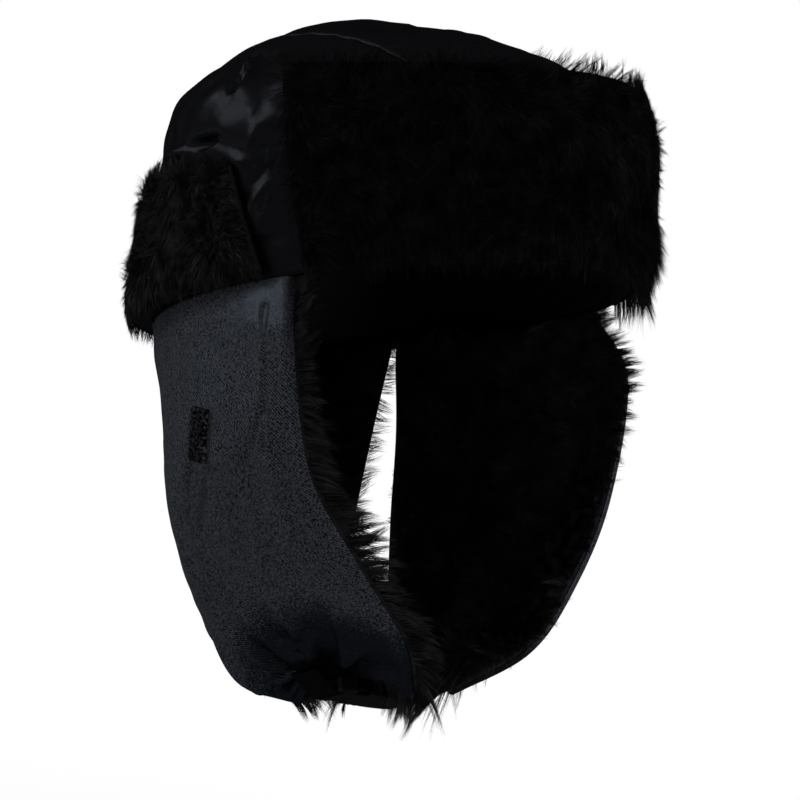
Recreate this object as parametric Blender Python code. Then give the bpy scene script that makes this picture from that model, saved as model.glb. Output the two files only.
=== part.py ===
"""Trapper hat: a satin crown with a fur visor and a fur rear cuff turned up around its hem, fur-lined
ear flaps that close under the chin with a side-release buckle, and a fur-lined neck flap.

The front of the hat faces -Y and the wearer's left is +X. The origin is the centre of the head
opening, whose hem lies in one plane that drops towards the back. Sizes are in millimetres, and
build_piece turns them into metres.
"""

import math

import bmesh
import bpy
import numpy as np
from mathutils import Matrix, Vector

MM = 0.001

# Head opening and crown, measured on the inside of the lining. The head is narrower in front than behind
HEAD_HALF_WIDTH = 80.0
HEAD_HALF_LENGTH = 100.5
HEAD_TAPER = 0.09
CROWN_HEIGHT = 106.0
CROWN_SQUARENESS = 4.6
HEM_SLOPE = 0.283
SEAM_X = 50.0
SEAM_GAP = 0.3
SEAM_CORNER = 1.008

# Layers of the crown, as the growth of each face outward from the lining's inside
LINING_LAYER = (0.0, 1.0)
CROWN_WADDING_LAYER = (1.4, 4.4)
CROWN_SHELL_LAYER = (6.0, 7.0)

# Layers of the turned-up visor and cuff, grown from the same inside
BACKING_LAYER = (7.6, 8.3)
INTERLINING_LAYER = (8.7, 9.5)
FUR_BASE = 9.9
FUR_EDGE_DEPTH = 1.4
FUR_SWELL = 1.8

# Visor: half its sweep round the head in degrees, its height, the lower top and wider sweep of its
# ends, and the lean of its top to the crown, which comes late in its height and is less at its ends
VISOR_HALF_SWEEP = 66.0
VISOR_HEIGHT = 69.0
VISOR_END_RISE = 13.0
VISOR_FLARE = 14.0
VISOR_LEAN = 0.14
VISOR_LEAN_HEIGHT = 75.0
VISOR_LEAN_EASE = 3.5
VISOR_LEAN_LOST = 0.75
VISOR_FOOT_STAND_OFF = 1.2
HEM_CLEARANCE = 1.2

# Rear cuff: where its ends lie round the head, and its top edge with its rounded corners
CUFF_FRONT_BOTTOM = 76.0
CUFF_FRONT_TOP = 89.0
CUFF_TOP_AT_EAR = 51.0
CUFF_TOP_SLOPE = 0.20
CUFF_LEAN = 0.008
CUFF_END_DROP = 4.0

# Layers of the ear flaps and the neck flap, as depths below the satin's outside
FLAP_SHELL_LAYER = (0.0, 1.0)
FLAP_WADDING_LAYER = (1.5, 3.0)
FLAP_FUR_LAYER = (4.2, 11.8)
FLAP_TOP_GAP = 0.8
FLAP_HINGE_X = 86.0

# Ear flap: front edge, middle and rear edge from the hem to under the chin, on the left side
FLAP_FRONT = (
    (80.0, -38.0, 10.0), (88.8, -53.7, -14.0), (80.0, -64.0, -62.0),
    (57.0, -76.0, -97.0), (34.0, -80.0, -124.0), (12.0, -62.0, -145.5),
)
FLAP_MIDDLE = (
    (84.0, 14.0, -4.8), (86.5, 5.0, -42.0), (82.0, 2.0, -80.0),
    (66.0, -6.0, -115.0), (37.0, -21.0, -137.0), (12.0, -24.5, -140.0),
)
FLAP_REAR = (
    (65.0, 65.5, -19.4), (62.5, 54.5, -55.0), (57.5, 45.0, -92.0),
    (48.5, 28.5, -128.0), (39.0, 12.0, -156.0), (14.0, -2.0, -163.0),
)

# Folds of the ear flap's satin: place across and along the flap, slant, half-width, reach and height
FLAP_FOLDS = (
    (0.10, 0.38, 0.02, 0.030, 0.24, 1.6),
    (0.66, 0.52, 0.10, 0.035, 0.16, 1.5),
    (0.53, 0.57, 0.06, 0.030, 0.12, 1.2),
    (0.82, 0.78, -0.55, 0.050, 0.13, 2.6),
    (0.92, 0.86, -0.30, 0.045, 0.10, 2.0),
    (0.24, 0.82, 0.50, 0.045, 0.12, 2.2),
)

# Neck flap: its ends round the head at the hem and at its lower edge, and its lower edge
NECK_TOP_END = 130.5
NECK_BOTTOM_END = 136.0
NECK_TOP_HALF_WIDTH = 84.0
NECK_TOP_HALF_LENGTH = 104.5
NECK_BOTTOM_HALF_WIDTH = 66.0
NECK_BOTTOM_HALF_LENGTH = 76.0
NECK_BOTTOM = -103.0
NECK_CORNER_RISE = 9.0
NECK_LEAN_EASE = 0.9
NECK_HINGE_Y = 106.0

# Hook-and-loop patch: width, height, thickness, its place on the flap and its stand-off
PATCH_SIZE = (10.0, 21.0, 1.4)
PATCH_ACROSS = 0.40
PATCH_ALONG = 0.295
PATCH_STAND_OFF = 0.7
PATCH_CORNER = 1.2

# Side-release buckle for 15 mm webbing, in its own frame: X along the strap, Z away from the chin
BUCKLE_CENTER = (-4.0, -26.5, -151.0)
BUCKLE_TURN = (158.0, 6.0, 0.0)
BUCKLE_HALF_THICKNESS = 3.4
BODY_ROUNDING = 1.1
SOCKET_EDGE = ((2.5, 10.0), (-1.5, 10.6), (-12.0, 10.6), (-16.0, 9.7), (-19.0, 9.2), (-20.0, 8.2))
PLUG_EDGE = ((2.9, 9.8), (5.9, 10.4), (12.0, 10.3), (15.0, 9.7), (19.0, 9.2), (20.0, 8.2))
CAVITY_X = (-13.8, 4.5)
CAVITY_HALF_WIDTH = 8.6
CAVITY_HALF_THICKNESS = 2.5
WINDOW_X = (-11.5, -4.4)
WINDOW_Y = (7.6, 12.6)
SLOT_X = (15.3, 17.8)
BAR_STEP_X = (16.3, 21.0)
SLOT_HALF_WIDTH = 8.0
BAR_HALF_THICKNESS = 1.6
GUIDE_OUTLINE = ((-12.5, 0.7), (-12.5, -0.7), (-10.9, -1.6), (4.9, -1.6), (4.9, 1.6), (-10.9, 1.6))
GUIDE_HALF_THICKNESS = 1.8
ARM_ROUNDING = 0.35
ARM_PIVOT = (2.6, 5.8)
ARM_HALF_THICKNESS = 1.9
ARM_OUTLINE = (
    (2.5, 5.0), (2.5, 6.6), (-3.4, 6.9), (-4.8, 7.4), (-4.8, 10.0), (-7.4, 10.3),
    (-9.8, 9.4), (-11.4, 7.6), (-11.8, 6.2), (-11.2, 5.3), (-9.0, 5.0),
)

# Webbing strap: half its width, half its thickness, and how it lies on the flap and round the bar
STRAP_HALF_WIDTH = 7.5
STRAP_HALF_THICKNESS = 0.6
STRAP_ON_FLAP = (0.78, 0.80, 0.82)
STRAP_LIFT = 1.7
STRAP_TURN = (
    (27.0, -5.9), (21.0, -3.2), (17.6, -2.7), (16.55, -1.4), (16.55, 1.4),
    (17.6, 2.7), (21.0, 2.6), (26.0, -1.2), (31.0, -4.6),
)
STRAP_STATIONS = 40

CUTTER_REACH = 6.0

# Fineness of each sheet: its points one way and the other
FINE_STEPS = 500
SETTLING_STEPS = 12
CENTER_PANEL_GRID = (11, 27)
SIDE_PANEL_GRID = (23, 11)
DOME_GRID = (28, 12)
VISOR_GRID = (19, 7)
VISOR_FUR_GRID = (19, 9)
CUFF_GRID = (27, 5)
CUFF_FUR_GRID = (27, 7)
FLAP_SHELL_GRID = (19, 23)
FLAP_INNER_GRID = (11, 17)
NECK_GRID = (15, 7)


def material(name, color, roughness, metallic=0.0):
    """A material of one colour and gloss."""
    made = bpy.data.materials.new(name)
    made.use_nodes = True
    shader = made.node_tree.nodes["Principled BSDF"]
    shader.inputs["Base Color"].default_value = (*color, 1.0)
    shader.inputs["Roughness"].default_value = roughness
    shader.inputs["Metallic"].default_value = metallic
    return made


def empty(name, place, turn=(0.0, 0.0, 0.0)):
    """A pivot or frame at a place in millimetres, turned by degrees."""
    made = bpy.data.objects.new(name, None)
    made.location = Vector(place) * MM
    made.rotation_euler = [math.radians(t) for t in turn]
    bpy.context.collection.objects.link(made)
    return made


def build_piece(name, points, faces, finish, parent=None, world=True, smooth=True):
    """One sub-part from points in millimetres. World points are brought into the parent's frame."""
    mesh = bpy.data.meshes.new(name)
    mesh.from_pydata([tuple(float(c) * MM for c in p) for p in points], [], faces)
    if parent is not None and world:
        bpy.context.view_layer.update()
        mesh.transform(parent.matrix_world.inverted())
    shape = bmesh.new()
    shape.from_mesh(mesh)
    bmesh.ops.recalc_face_normals(shape, faces=shape.faces)
    shape.to_mesh(mesh)
    shape.free()
    if smooth:
        mesh.shade_smooth()
        mesh.set_sharp_from_angle(angle=math.radians(40))
    mesh.materials.append(finish)
    piece = bpy.data.objects.new(name, mesh)
    piece.parent = parent
    bpy.context.collection.objects.link(piece)
    return piece


def thick_patch(outer, inner):
    """Points and faces of a closed sheet between two grids of equal size."""
    rows, columns = outer.shape[:2]
    count = rows * columns
    points = np.concatenate([outer.reshape(-1, 3), inner.reshape(-1, 3)])
    faces = []
    for r in range(rows - 1):
        for c in range(columns - 1):
            a = r * columns + c
            quad = (a, a + 1, a + columns + 1, a + columns)
            faces.append(quad)
            faces.append(tuple(count + i for i in reversed(quad)))
    rim = [c for c in range(columns)]
    rim += [r * columns + columns - 1 for r in range(1, rows)]
    rim += [(rows - 1) * columns + c for c in range(columns - 2, -1, -1)]
    rim += [r * columns for r in range(rows - 2, 0, -1)]
    for a, b in zip(rim, rim[1:] + rim[:1]):
        faces.append((b, a, count + a, count + b))
    return points, faces


def bowl(outer_rings, outer_top, inner_rings, inner_top):
    """Points and faces of a dome of two skins joined at the hem."""
    rows, columns = outer_rings.shape[:2]
    count = rows * columns + 1
    skins = [outer_rings.reshape(-1, 3), [outer_top], inner_rings.reshape(-1, 3), [inner_top]]
    points = np.concatenate([np.asarray(s, float) for s in skins])
    faces = []
    for base in (0, count):
        for c in range(columns):
            d = (c + 1) % columns
            for r in range(rows - 1):
                low, high = base + r * columns, base + (r + 1) * columns
                faces.append((low + c, low + d, high + d, high + c))
            last = base + (rows - 1) * columns
            faces.append((last + c, last + d, base + count - 1))
    for c in range(columns):
        d = (c + 1) % columns
        faces.append((c, d, count + d, count + c))
    return points, faces


def evenly(points, count):
    """A fine line's points at even distances along it."""
    points = np.asarray(points, float)
    steps = np.linalg.norm(np.diff(points, axis=0), axis=1)
    along = np.concatenate([[0.0], np.cumsum(steps)])
    wanted = np.linspace(0.0, along[-1], count)
    return np.stack([np.interp(wanted, along, points[:, i]) for i in range(3)], axis=1)


def spline(points, t):
    """A smooth curve through points, with t from 0 to 1 over all of them."""
    points = np.asarray(points, float)
    padded = np.concatenate([[2 * points[0] - points[1]], points, [2 * points[-1] - points[-2]]])
    at = np.clip(np.asarray(t, float), 0.0, 1.0) * (len(points) - 1)
    first = np.minimum(at.astype(int), len(points) - 2)
    f = (at - first)[..., None]
    p0, p1, p2, p3 = (padded[first + i] for i in range(4))
    bend = (2 * p0 - 5 * p1 + 4 * p2 - p3) * f**2 + (3 * p1 - p0 - 3 * p2 + p3) * f**3
    return p1 + 0.5 * ((p2 - p0) * f + bend)


def hem_height(y):
    """Height of the hem plane."""
    return -HEM_SLOPE * y


def head_width(width, share):
    """The head's half width at a share of its half length, from -1 in front to 1 behind."""
    return width * (1.0 + HEAD_TAPER * share)


def crown_height(grow, x, y):
    """Height of the crown over a point, for a layer grown outward."""
    width, length = HEAD_HALF_WIDTH + grow, HEAD_HALF_LENGTH + grow
    spread = np.clip(1.0 - (x / head_width(width, y / length)) ** 2 - (y / length) ** 2, 0.0, 1.0)
    rise = spread ** (1.0 / CROWN_SQUARENESS)
    return hem_height(y) * (1.0 - rise) + (CROWN_HEIGHT + grow) * rise


def hem_share(width, x, end):
    """Where the hem lies at one x, as a share of the half length, in front (-1) or behind (1)."""
    share = end
    for _ in range(SETTLING_STEPS):
        share = end * math.sqrt(1.0 - (x / head_width(width, share)) ** 2)
    return share


def crown_center_line(grow, x, count):
    """The crown's line from the front hem over the top to the back hem, at one x."""
    width, length = HEAD_HALF_WIDTH + grow, HEAD_HALF_LENGTH + grow
    front, back = length * hem_share(width, x, -1.0), length * hem_share(width, x, 1.0)
    sweep = np.cos(np.linspace(0.0, math.pi, FINE_STEPS))
    y = (front + back) / 2 - (back - front) / 2 * sweep
    return evenly(np.stack([np.full_like(y, x), y, crown_height(grow, x, y)], axis=1), count)


def crown_side_line(grow, angle, inner_x, count):
    """The crown's line from the hem up to the seam at inner_x, or to the top where inner_x is 0."""
    width, length = HEAD_HALF_WIDTH + grow, HEAD_HALF_LENGTH + grow
    across, forward = math.sin(angle), math.cos(angle)
    nearest = 0.0
    if inner_x:
        for _ in range(SETTLING_STEPS):
            nearest = inner_x / (head_width(width, -nearest * forward) * abs(across))
    spread = 1.0 - (1.0 - nearest) * np.linspace(0.0, 1.0, FINE_STEPS) ** 2
    x = head_width(width, -spread * forward) * spread * across
    y = -length * spread * forward
    return evenly(np.stack([x, y, crown_height(grow, x, y)], axis=1), count)


def crown_pieces(satin, wadding, lining):
    """Three satin panels over the wadding, and the lining inside."""
    inner, outer = CROWN_SHELL_LAYER
    lines, count = CENTER_PANEL_GRID
    stations = np.linspace(-SEAM_X, SEAM_X, lines)
    grids = [np.array([crown_center_line(g, x, count) for x in stations]) for g in (outer, inner)]
    build_piece("crown_center_panel", *thick_patch(*grids), satin)

    seam = SEAM_X + SEAM_GAP
    width, corner = HEAD_HALF_WIDTH + inner, seam * SEAM_CORNER
    first, last = (math.acos(-hem_share(width, corner, end)) for end in (-1.0, 1.0))
    lines, count = SIDE_PANEL_GRID
    for name, side in (("crown_right_panel", -1), ("crown_left_panel", 1)):
        ends = np.cos(np.linspace(0.0, math.pi, lines))
        angles = side * ((first + last) / 2 - (last - first) / 2 * ends)
        grids = [np.array([crown_side_line(g, a, seam, count) for a in angles]) for g in (outer, inner)]
        build_piece(name, *thick_patch(*grids), satin)

    for name, layer, finish in (
        ("crown_wadding", CROWN_WADDING_LAYER, wadding),
        ("crown_lining", LINING_LAYER, lining),
    ):
        skins = []
        columns, count = DOME_GRID
        for grow in reversed(layer):
            angles = np.linspace(0.0, 2 * math.pi, columns, endpoint=False)
            lines = np.array([crown_side_line(grow, a, 0.0, count) for a in angles])
            skins += [lines[:, :-1].transpose(1, 0, 2), (0.0, 0.0, CROWN_HEIGHT + grow)]
        build_piece(name, *bowl(*skins), finish)


def wall_point(grow, angle, lean, rise):
    """A point of a band round the crown's wall, a rise above the hem, at degrees from the front."""
    turn = math.radians(angle)
    x = head_width(HEAD_HALF_WIDTH + grow, -math.cos(turn)) * math.sin(turn)
    y = -(HEAD_HALF_LENGTH + grow) * math.cos(turn)
    return np.array([x * lean, y * lean, hem_height(y) + HEM_CLEARANCE + rise])


def fur_growth(across, up):
    """How far the fur's outside stands out, fullest in the middle, for places from -1 to 1."""
    return FUR_BASE + FUR_EDGE_DEPTH + FUR_SWELL * (1 - across**6) * (1 - up**6)


def visor_point(grow, across, up):
    """A point of the visor, across from -1 to 1 and up from 0 to 1."""
    rise = (VISOR_HEIGHT + VISOR_END_RISE * across**2) * up
    sweep = VISOR_HALF_SWEEP + VISOR_FLARE * up
    lean = VISOR_LEAN * (rise / VISOR_LEAN_HEIGHT) ** VISOR_LEAN_EASE * (1 - VISOR_LEAN_LOST * across**2)
    foot = grow + VISOR_FOOT_STAND_OFF * across**2 * (1 - up)
    return wall_point(foot, sweep * across, 1 - lean, rise)


def cuff_point(grow, across, up):
    """A point of the cuff, across from the right end at -1 round the back to the left end at 1."""
    front = CUFF_FRONT_BOTTOM + (CUFF_FRONT_TOP - CUFF_FRONT_BOTTOM) * up
    foot = wall_point(grow, 180.0 + (180.0 - front) * -across, 1.0, 0.0)
    top = CUFF_TOP_AT_EAR - CUFF_TOP_SLOPE * foot[1] - CUFF_END_DROP * across**16
    lean = 1 - CUFF_LEAN * up**2
    return np.array([foot[0] * lean, foot[1] * lean, foot[2] + (top - foot[2]) * up])


def band(name, point, layer, grid_size, finish, parent=None):
    """One even layer of the visor or the cuff."""
    columns, rows = grid_size
    grids = []
    for grow in reversed(layer):
        grid = [[point(grow, a, u) for a in np.linspace(-1, 1, columns)] for u in np.linspace(0, 1, rows)]
        grids.append(np.array(grid))
    build_piece(name, *thick_patch(*grids), finish, parent)


def fur_band(name, point, grid_size, finish, parent=None):
    """The fur of the visor or the cuff, swollen in its middle."""
    columns, rows = grid_size
    across, up = np.linspace(-1, 1, columns), np.linspace(0, 1, rows)
    outer = [[point(fur_growth(a, 2 * u - 1), a, u) for a in across] for u in up]
    inner = [[point(FUR_BASE, a, u) for a in across] for u in up]
    build_piece(name, *thick_patch(np.array(outer), np.array(inner)), finish, parent)


def flap_fold(u, v):
    """How far the ear flap's satin stands out in its folds."""
    out = np.zeros_like(u)
    for across, along, slant, half_width, reach, height in FLAP_FOLDS:
        run = v - along
        off = (u - across - slant * run) / half_width
        out += height * np.exp(-(off**2) - (run / reach) ** 4)
    return out


def flap_surface(u, v, side):
    """The ear flap's satin without folds, u from the front edge to the rear and v from hem to chin."""
    front, middle, rear = (spline(line, v) for line in (FLAP_FRONT, FLAP_MIDDLE, FLAP_REAR))
    u = np.asarray(u, float)[..., None]
    place = front * (1 - u) * (1 - 2 * u) + middle * 4 * u * (1 - u) + rear * u * (2 * u - 1)
    return place * np.array([side, 1.0, 1.0])


def flap_frame(u, v, side):
    """The satin's point and its outward direction."""
    step = 1e-3
    low = np.clip(v - step, 0.0, 1.0)
    high = np.clip(v + step, 0.0, 1.0)
    across = flap_surface(u + step, v, side) - flap_surface(u - step, v, side)
    down = flap_surface(u, high, side) - flap_surface(u, low, side)
    out = np.cross(across, down) * -side
    return flap_surface(u, v, side), out / np.linalg.norm(out, axis=-1, keepdims=True)


def flap_layer(name, layer, grid_size, side, finish, parent, folded=False):
    """One layer of an ear flap."""
    columns, rows = grid_size
    v, u = np.meshgrid(np.linspace(0, 1, rows), np.linspace(0, 1, columns), indexing="ij")
    place, out = flap_frame(u, v, side)
    proud = flap_fold(u, v)[..., None] * out if folded else 0.0
    grids = [place + proud - out * depth for depth in layer]
    for grid in grids:
        ceiling = hem_height(grid[0, :, 1]) - FLAP_TOP_GAP
        grid[0, :, 2] = ceiling
    build_piece(name, *thick_patch(*grids), finish, parent)


def loop_patch(name, side, finish, parent):
    """The flat fuzzy patch on an ear flap's satin."""
    place, out = flap_frame(np.array(PATCH_ACROSS), np.array(PATCH_ALONG), side)
    out = Vector(out)
    up = Vector((0.0, 0.0, 1.0))
    up = (up - out * up.dot(out)).normalized()
    along = up.cross(out)
    width, height, thickness = PATCH_SIZE
    center = Vector(place) + out * (PATCH_STAND_OFF + thickness / 2)
    shape = bmesh.new()
    bmesh.ops.create_cube(shape, size=1.0, matrix=Matrix.Diagonal((width, height, thickness, 1.0)))
    edges = [e for e in shape.edges if abs((e.verts[0].co - e.verts[1].co).z) > thickness / 2]
    bmesh.ops.bevel(shape, geom=edges, offset=PATCH_CORNER, segments=3, affect="EDGES", profile=0.5)
    points = [center + along * v.co.x + up * v.co.y + out * v.co.z for v in shape.verts]
    shape.verts.index_update()
    faces = [tuple(v.index for v in f.verts) for f in shape.faces]
    shape.free()
    build_piece(name, points, faces, finish, parent, smooth=False)


def strap(name, side, finish, parent, frame):
    """A webbing strap sewn on an ear flap, turned round a bar of the buckle and laid back on itself."""
    v = np.array(STRAP_ON_FLAP)
    place, out = flap_frame(np.full_like(v, 0.5), v, side)
    sewn = place + out * STRAP_LIFT
    turn = [np.array(frame @ Vector((side * x, 0.0, z))) for x, z in STRAP_TURN]
    line = spline(np.concatenate([sewn, turn]), np.linspace(0, 1, FINE_STEPS))
    line = evenly(line, STRAP_STATIONS)
    width = np.array(frame.to_3x3() @ Vector((0.0, 1.0, 0.0)))
    along = np.gradient(line, axis=0)
    normal = np.cross(along, width)
    normal /= np.linalg.norm(normal, axis=1, keepdims=True)
    grids = []
    for lift in (STRAP_HALF_THICKNESS, -STRAP_HALF_THICKNESS):
        rows = [line + normal * lift + width * w for w in (-STRAP_HALF_WIDTH, STRAP_HALF_WIDTH)]
        grids.append(np.stack(rows, axis=1))
    build_piece(name, *thick_patch(*grids), finish, parent)


def neck_layer(name, layer, finish, parent):
    """One layer of the neck flap, which leans in towards the nape."""
    columns, rows = NECK_GRID
    grids = []
    for depth in layer:
        grid = np.zeros((rows, columns, 3))
        for r, down in enumerate(np.linspace(0, 1, rows)):
            ease = down**NECK_LEAN_EASE
            width = NECK_TOP_HALF_WIDTH + (NECK_BOTTOM_HALF_WIDTH - NECK_TOP_HALF_WIDTH) * ease - depth
            length = NECK_TOP_HALF_LENGTH + (NECK_BOTTOM_HALF_LENGTH - NECK_TOP_HALF_LENGTH) * ease - depth
            end = NECK_TOP_END + (NECK_BOTTOM_END - NECK_TOP_END) * down
            for c, across in enumerate(np.linspace(-1, 1, columns)):
                turn = math.radians(180.0 + (180.0 - end) * across)
                x, y = width * math.sin(turn), -length * math.cos(turn)
                top = hem_height(-(NECK_TOP_HALF_LENGTH - depth) * math.cos(turn)) - FLAP_TOP_GAP
                bottom = NECK_BOTTOM + NECK_CORNER_RISE * across**6
                grid[r, c] = (x, y, top + (bottom - top) * down)
        grids.append(grid)
    build_piece(name, *thick_patch(*grids), finish, parent)


def prism(name, outline, low, high, finish, parent):
    """An outline in the buckle's plane, drawn through its thickness."""
    count = len(outline)
    points = [(x, y, z) for z in (low, high) for x, y in outline]
    faces = [tuple(range(count)), tuple(range(count, 2 * count))]
    faces += [(i, (i + 1) % count, count + (i + 1) % count, count + i) for i in range(count)]
    return build_piece(name, points, faces, finish, parent, world=False)


def cutter(name, low, high, parent):
    """A box that is cut away."""
    corners = [(low[0], low[1]), (high[0], low[1]), (high[0], high[1]), (low[0], high[1])]
    box = prism(name, corners, low[2], high[2], bpy.data.materials["plastic"], parent)
    box.hide_render = True
    box.display_type = "WIRE"
    return box


def cut(piece, *boxes):
    """Cut boxes out of a piece."""
    for box in boxes:
        change = piece.modifiers.new(box.name, "BOOLEAN")
        change.operation = "DIFFERENCE"
        change.solver = "EXACT"
        change.object = box


def rounded(piece, width):
    """Round a moulded piece's edges."""
    change = piece.modifiers.new("rounded", "BEVEL")
    change.width = width * MM
    change.segments = 2
    change.limit_method = "ANGLE"
    change.angle_limit = math.radians(40)


def mirrored(edge):
    """A whole outline from its edge on one side."""
    return [*edge, *[(x, -y) for x, y in reversed(edge)]]


def strap_end_cutters(name, side, parent):
    """The webbing slot, and the steps that thin the bar beyond it."""
    half = SLOT_HALF_WIDTH
    near, far = sorted(side * x for x in SLOT_X)
    boxes = [cutter(name + "_slot", (near, -half, -CUTTER_REACH), (far, half, CUTTER_REACH), parent)]
    near, far = sorted(side * x for x in BAR_STEP_X)
    for face in (-1, 1):
        low, high = sorted((face * BAR_HALF_THICKNESS, face * CUTTER_REACH))
        boxes.append(cutter(f"{name}_step_{face}", (near, -half, low), (far, half, high), parent))
    return boxes


def buckle_body(name, edge, finish, parent):
    """The moulded block of the socket or the plug, before its cuts."""
    body = prism(name, mirrored(edge), -BUCKLE_HALF_THICKNESS, BUCKLE_HALF_THICKNESS, finish, parent)
    rounded(body, BODY_ROUNDING)
    return body


def buckle_socket(finish, parent):
    """The socket: a flat box open at its mouth, with side windows for the arms' pads."""
    socket = buckle_body("buckle_socket", SOCKET_EDGE, finish, parent)
    near, far = CAVITY_X
    half, thick = CAVITY_HALF_WIDTH, CAVITY_HALF_THICKNESS
    boxes = [cutter("socket_cavity", (near, -half, -thick), (far, half, thick), parent)]
    near, far = WINDOW_X
    for face in (-1, 1):
        low, high = sorted(face * y for y in WINDOW_Y)
        name = f"socket_window_{face}"
        boxes.append(cutter(name, (near, low, -CUTTER_REACH), (far, high, CUTTER_REACH), parent))
    cut(socket, *boxes, *strap_end_cutters("socket", -1, parent))


def buckle_plug(finish, parent):
    """The plug: a base with the webbing slot and a guide that runs into the socket."""
    base = buckle_body("buckle_plug", PLUG_EDGE, finish, parent)
    guide = prism("plug_guide", GUIDE_OUTLINE, -GUIDE_HALF_THICKNESS, GUIDE_HALF_THICKNESS, finish, parent)
    guide.hide_render = True
    guide.display_type = "WIRE"
    cut(base, *strap_end_cutters("plug", 1, parent))
    join = base.modifiers.new("guide", "BOOLEAN")
    join.operation = "UNION"
    join.solver = "EXACT"
    join.object = guide


def buckle_arm(name, face, finish, parent):
    """A springy arm with its barb and finger pad, pivoting at its root."""
    x0, y0 = ARM_PIVOT
    pivot = empty(name + "_pivot", (x0, face * y0, 0.0))
    pivot.parent = parent
    outline = [(x - x0, face * (y - y0)) for x, y in ARM_OUTLINE]
    arm = prism(name, outline, -ARM_HALF_THICKNESS, ARM_HALF_THICKNESS, finish, pivot)
    rounded(arm, ARM_ROUNDING)


def build():
    """The whole hat."""
    for old in list(bpy.data.objects):
        bpy.data.objects.remove(old)

    satin = material("satin", (0.012, 0.014, 0.024), 0.38)
    lining = material("lining", (0.010, 0.011, 0.016), 0.5)
    wadding = material("wadding", (0.62, 0.62, 0.60), 0.95)
    fur = material("fur", (0.006, 0.006, 0.006), 0.9)
    interlining = material("interlining", (0.30, 0.30, 0.31), 0.9)
    webbing = material("webbing", (0.010, 0.010, 0.012), 0.7)
    plastic = material("plastic", (0.008, 0.008, 0.009), 0.35)
    loops = material("loops", (0.010, 0.010, 0.013), 0.95)

    crown_pieces(satin, wadding, lining)

    visor_hinge_y = -(HEAD_HALF_LENGTH + BACKING_LAYER[0])
    visor = empty("visor_hinge", (0.0, visor_hinge_y, hem_height(visor_hinge_y) + HEM_CLEARANCE))
    band("visor_backing", visor_point, BACKING_LAYER, VISOR_GRID, satin, visor)
    band("visor_interlining", visor_point, INTERLINING_LAYER, VISOR_GRID, interlining, visor)
    fur_band("visor_fur", visor_point, VISOR_FUR_GRID, fur, visor)

    band("rear_cuff_backing", cuff_point, BACKING_LAYER, CUFF_GRID, satin)
    fur_band("rear_cuff_fur", cuff_point, CUFF_FUR_GRID, fur)

    buckle_frame = empty("buckle_frame", BUCKLE_CENTER, BUCKLE_TURN)
    bpy.context.view_layer.update()
    frame = Matrix(buckle_frame.matrix_world)
    frame.translation = Vector(BUCKLE_CENTER)

    for word, side in (("right", -1), ("left", 1)):
        hinge = empty(word + "_flap_hinge", (side * FLAP_HINGE_X, 0.0, 0.0))
        flap_layer(word + "_flap_shell", FLAP_SHELL_LAYER, FLAP_SHELL_GRID, side, satin, hinge, folded=True)
        flap_layer(word + "_flap_wadding", FLAP_WADDING_LAYER, FLAP_INNER_GRID, side, wadding, hinge)
        flap_layer(word + "_flap_fur", FLAP_FUR_LAYER, FLAP_INNER_GRID, side, fur, hinge)
        loop_patch(word + "_loop_patch", side, loops, hinge)
        strap(word + "_strap", side, webbing, hinge, frame)

    neck = empty("neck_flap_hinge", (0.0, NECK_HINGE_Y, hem_height(NECK_HINGE_Y)))
    neck_layer("neck_flap_shell", FLAP_SHELL_LAYER, satin, neck)
    neck_layer("neck_flap_wadding", FLAP_WADDING_LAYER, wadding, neck)
    neck_layer("neck_flap_fur", FLAP_FUR_LAYER, fur, neck)

    buckle_socket(plastic, buckle_frame)
    buckle_plug(plastic, buckle_frame)
    buckle_arm("buckle_arm_front", 1, plastic, buckle_frame)
    buckle_arm("buckle_arm_rear", -1, plastic, buckle_frame)


build()
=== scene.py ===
import math

import bpy
import numpy as np
from mathutils import Matrix, Vector
from mathutils.kdtree import KDTree


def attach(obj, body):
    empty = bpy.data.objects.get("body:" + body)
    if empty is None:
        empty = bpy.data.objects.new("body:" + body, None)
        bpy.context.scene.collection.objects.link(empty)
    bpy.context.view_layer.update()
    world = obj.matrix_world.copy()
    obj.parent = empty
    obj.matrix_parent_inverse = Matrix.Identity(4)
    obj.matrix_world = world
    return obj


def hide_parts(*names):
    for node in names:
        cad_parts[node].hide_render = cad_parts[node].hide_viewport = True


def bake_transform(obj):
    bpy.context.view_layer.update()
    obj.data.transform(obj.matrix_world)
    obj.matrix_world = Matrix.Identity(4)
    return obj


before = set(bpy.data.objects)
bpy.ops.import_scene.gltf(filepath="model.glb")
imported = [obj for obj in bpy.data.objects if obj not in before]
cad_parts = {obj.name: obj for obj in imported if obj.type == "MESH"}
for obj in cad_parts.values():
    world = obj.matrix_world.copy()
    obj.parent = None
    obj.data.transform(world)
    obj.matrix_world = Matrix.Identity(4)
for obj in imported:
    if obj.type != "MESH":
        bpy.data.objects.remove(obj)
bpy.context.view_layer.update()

MM = 0.001

# The hat's shape, in millimetres, as its solids have it
HEAD_HALF_WIDTH = 80.0
HEAD_HALF_LENGTH = 100.5
HEAD_TAPER = 0.09
CROWN_HEIGHT = 106.0
CROWN_SQUARENESS = 4.6
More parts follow.
